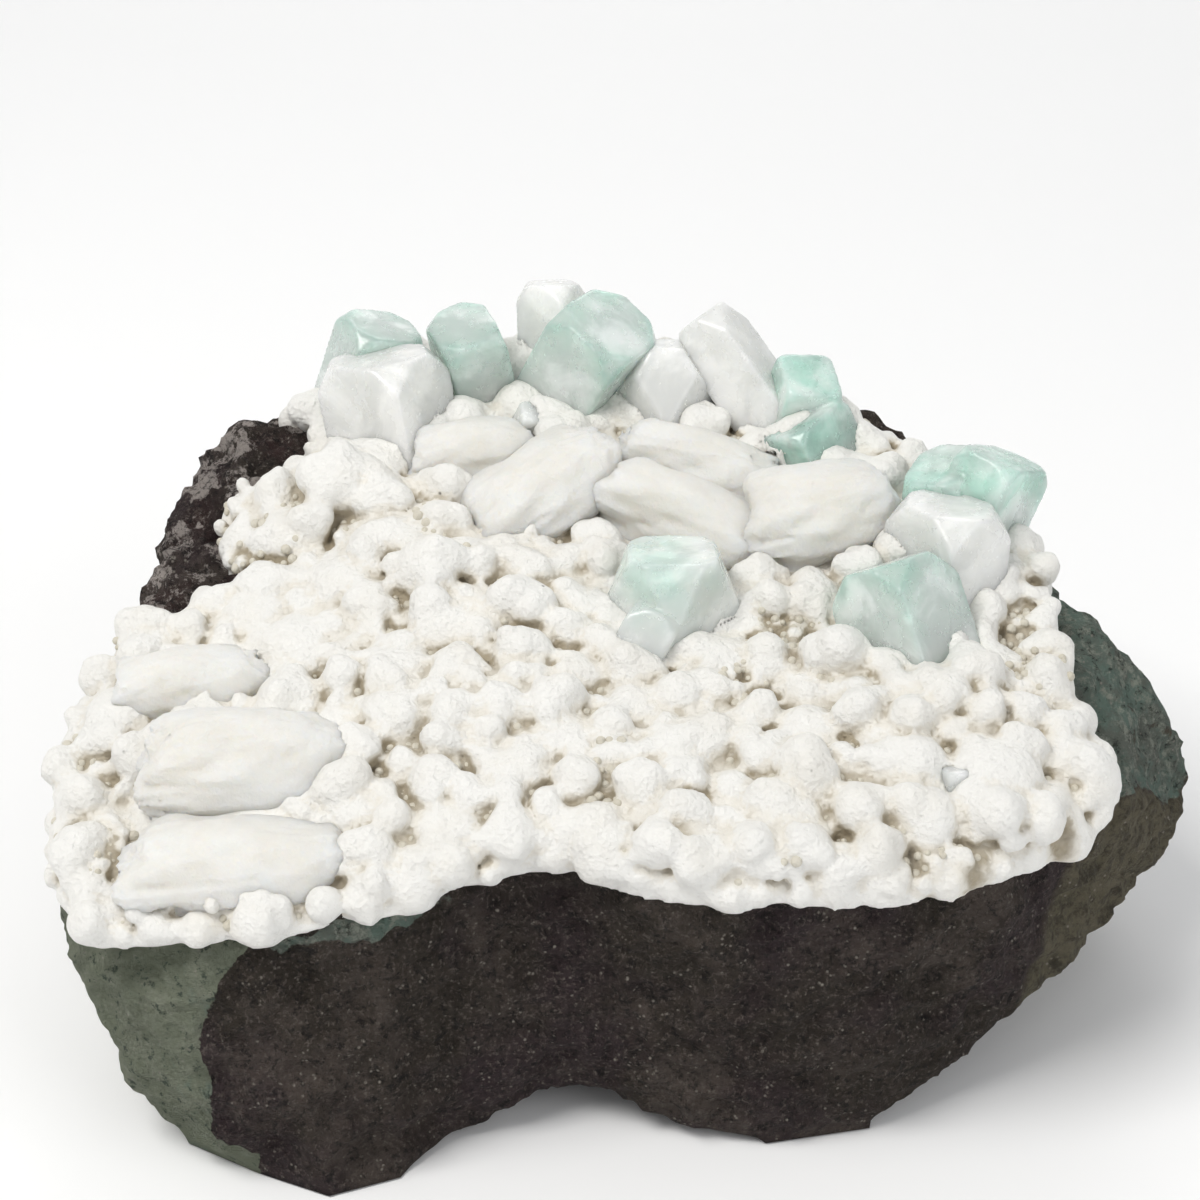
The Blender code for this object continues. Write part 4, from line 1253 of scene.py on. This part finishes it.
@dataclass
class Sheaf:
    """A sheaf of stilbite: thick rounded blades grown into each other that spread like a bow tie."""

    node: str
    form: SheafForm
    cell: float = 0.34
    power: float = 3.4
    stations: tuple = (-0.5, 0.0, 0.5)

    def shape(self) -> bpy.types.Object:
        """Fuses the blades.

        Each blade is a rounded block, where the sum of |place / half size| to a power stays under one.
        The blades overlap across the sheaf and turn by their place in it. Noise, low terraces and fine
        ridges along the blades break the skin.

        Returns: the sheaf.
        """
        form = self.form
        wide, thick, long = form.half
        lie = np.array(Matrix.Rotation(math.radians(form.lie), 3, "Z")
                       @ Matrix.Rotation(math.radians(90 - form.rise), 3, "Y")
                       @ Matrix.Rotation(math.radians(form.face), 3, "Z"))
        rng = np.random.default_rng(len(self.node) * 7 + int(long * 10))
        reach = float(np.hypot(wide, long)) + 2 * thick + 1.5
        centre = np.array(form.centre)
        clay = Clay(centre - reach, centre + reach, self.cell, 1.7)
        cut, x, y, z = clay.window(centre - reach, centre + reach)
        half_span = thick * 1.15 * (form.blades - 1) / 2 + thick * 0.62
        for share in self.stations:
            turn = lie @ np.array(Matrix.Rotation(math.radians(1.6 * form.fan * share + rng.uniform(-4, 4)), 3, "Y")
                                  @ Matrix.Rotation(math.radians(9 * share + rng.uniform(-3, 3)), 3, "X"))
            place = centre + lie @ np.array([rng.uniform(-0.4, 0.4), share * half_span, rng.uniform(-0.6, 0.6)])
            local = [turn[0, k] * (x - place[0]) + turn[1, k] * (y - place[1]) + turn[2, k] * (z - place[2])
                     for k in range(3)]
            size = 1 - 0.16 * abs(share) + rng.uniform(-0.05, 0.03)
            halves = (wide * size * 1.04, half_span * 0.8, long * size)
            total = sum(np.abs(part / half) ** self.power for part, half in zip(local, halves))
            clay.add(cut, (total ** (1 / self.power) - 1) * min(halves) * 1.15)
        values = clay.distance()
        near = np.abs(values) < 1.2
        at = clay.points(near)
        noise = Noise(41)
        along = (at - centre) @ lie
        ridges = 2 * np.abs(noise.at(along * [1.0, 1.0, 0.12], 1.5))
        ridges = ridges + 0.5 * noise.at(along * [1.0, 1.0, 0.3] + 20, 0.8)
        slow = noise.fractal(along * [1.0, 1.6, 0.7], 5.0, 2)
        values[near] += 0.3 * slow + 0.6 * np.floor(slow * 5) / 5 + 0.17 * ridges
        values[0], values[-1], values[:, 0], values[:, -1], values[:, :, 0], values[:, :, -1] = (3.0,) * 6
        points, quads = net(values, clay.low, clay.step)
        obj = piece(self.node + "_blades", points, quads)
        # The crevice share, by which the pearl finish paints shade between the blades.
        BotryoidalCrust.mark_gaps(obj, clay, values)
        return obj

    def build(self, finish: Finish) -> None:
        """Shapes, dresses and settles the sheaf."""
        obj = self.shape()
        finish.dress(obj)
        settle(obj, Mineral.STILBITE, self.node)


@dataclass
class Studio:
    """Pale floor, soft lights and the camera at the photograph's angle."""

    height: float = 30.0
    distance: float = 0.36
    target: tuple = (-0.003, 0.013, 0.054)
    lens: float = 77.7

    def camera(self) -> None:
        """Places the camera on the line that leaves the target at its height in degrees."""
        rise = math.radians(self.height)
        data = bpy.data.cameras.new("camera")
        data.lens = self.lens
        data.sensor_width = 36
        data.clip_start = 0.01
        data.clip_end = 20
        eye = bpy.data.objects.new("camera", data)
        bpy.context.scene.collection.objects.link(eye)
        eye.location = Vector(self.target) + self.distance * Vector((0, -math.cos(rise), math.sin(rise)))
        eye.rotation_euler = (math.pi / 2 - rise, 0, 0)
        bpy.context.scene.camera = eye

    @staticmethod
    def lamp(name: str, place: tuple, aim: tuple, size: float, power: float, colour: tuple = (1, 1, 1)) -> None:
        """Square soft light at a place, turned to what it lights.

        Args: name: of the light; place, aim: in metres; size: of its side; power: in watts; colour: of it.
        """
        data = bpy.data.lights.new(name, "AREA")
        data.size = size
        data.energy = power
        data.color = colour
        obj = bpy.data.objects.new(name, data)
        obj.location = place
        obj.rotation_euler = (Vector(aim) - Vector(place)).to_track_quat("-Z", "Y").to_euler()
        bpy.context.scene.collection.objects.link(obj)

    def floor(self) -> None:
        """Wide pale sheet under the block, with its back turned up in a smooth sweep."""
        run = np.linspace(0, 1, 25)
        across = np.array([-1.6, 1.6])
        bend = np.clip((run - 0.6) / 0.4, 0, 1)
        y = -1200 + 2600 * run - 500 * bend**2
        z = -0.3 + 1100 * bend**2.2
        points = np.stack([np.repeat(across[None] * 1000, 25, 0), np.repeat(y[:, None], 2, 1),
                           np.repeat(z[:, None], 2, 1)], axis=2).reshape(-1, 3)
        i = np.arange(24) * 2
        quads = np.stack([i, i + 1, i + 3, i + 2], axis=1)
        obj = piece("floor", points, quads)
        made = Finish("floor_paper")
        made.set(Roughness=0.9, Specular_IOR_Level=0.2)
        made.colour(made.mix(made.noise(3, 2), (0.93, 0.93, 0.93), (0.95, 0.95, 0.95)))
        made.dress(obj)

    def build(self) -> None:
        """Sets up floor, lights, sky and camera."""
        self.floor()
        aim = (0, 0.01, 0.05)
        self.lamp("key", (-0.35, -0.25, 0.75), aim, 0.36, 4.6, (1, 0.985, 0.96))
        self.lamp("fill", (0.6, -0.5, 0.45), aim, 0.6, 1.9, (0.98, 0.99, 1))
        self.lamp("back", (0.1, 0.75, 0.6), aim, 0.5, 1.3)
        world = bpy.data.worlds.new("sky")
        bpy.context.scene.world = world
        world.use_nodes = True
        world.node_tree.nodes["Background"].inputs["Color"].default_value = (0.98, 0.99, 1, 1)
        world.node_tree.nodes["Background"].inputs["Strength"].default_value = 0.45
        self.camera()


def main() -> None:
    """Builds the specimen piece by piece."""
    logging.basicConfig(level=logging.INFO, format="%(name)s %(message)s")
    scene = bpy.context.scene
    scene.view_settings.view_transform = "Standard"
    BasaltBlock().build(BasaltFinish().make())
    beads = CrustFinish(white=(0.74, 0.70, 0.60), cream=(0.60, 0.55, 0.44), name="bead_skin").make()
    BotryoidalCrust().build(CrustFinish().make(), beads)
    mint = GemFinish("apophyllite_mint", (0.90, 0.93, 0.90), (0.81, 0.95, 0.875), (0.92, 0.97, 0.935),
                     (0.50, 0.77, 0.67), 0.45, 0.18, (0.86, 0.97, 0.92), 4.0, 0.15).make()
    milk = GemFinish("milky_crystal", (0.845, 0.855, 0.83), (0.74, 0.88, 0.81), (0.93, 0.93, 0.905),
                     (0.48, 0.76, 0.67), 0.4, 0.1, (0.95, 0.95, 0.93), 4.0, 0.16, (1.0, 0.98, 0.92)).make()
    for node, forms in GEMS.items():
        green = node.startswith("apophyllite") and node != "apophyllite_middle"
        mineral = Mineral.STILBITE if node.startswith("stilbite") else Mineral.APOPHYLLITE
        Gem(node, forms, mineral).build(mint if green else milk)
    pearl = PearlFinish().make()
    for node, form in SHEAVES.items():
        Sheaf(node, form).build(pearl)
    Studio().build()


if __name__ == "__main__":
    main()
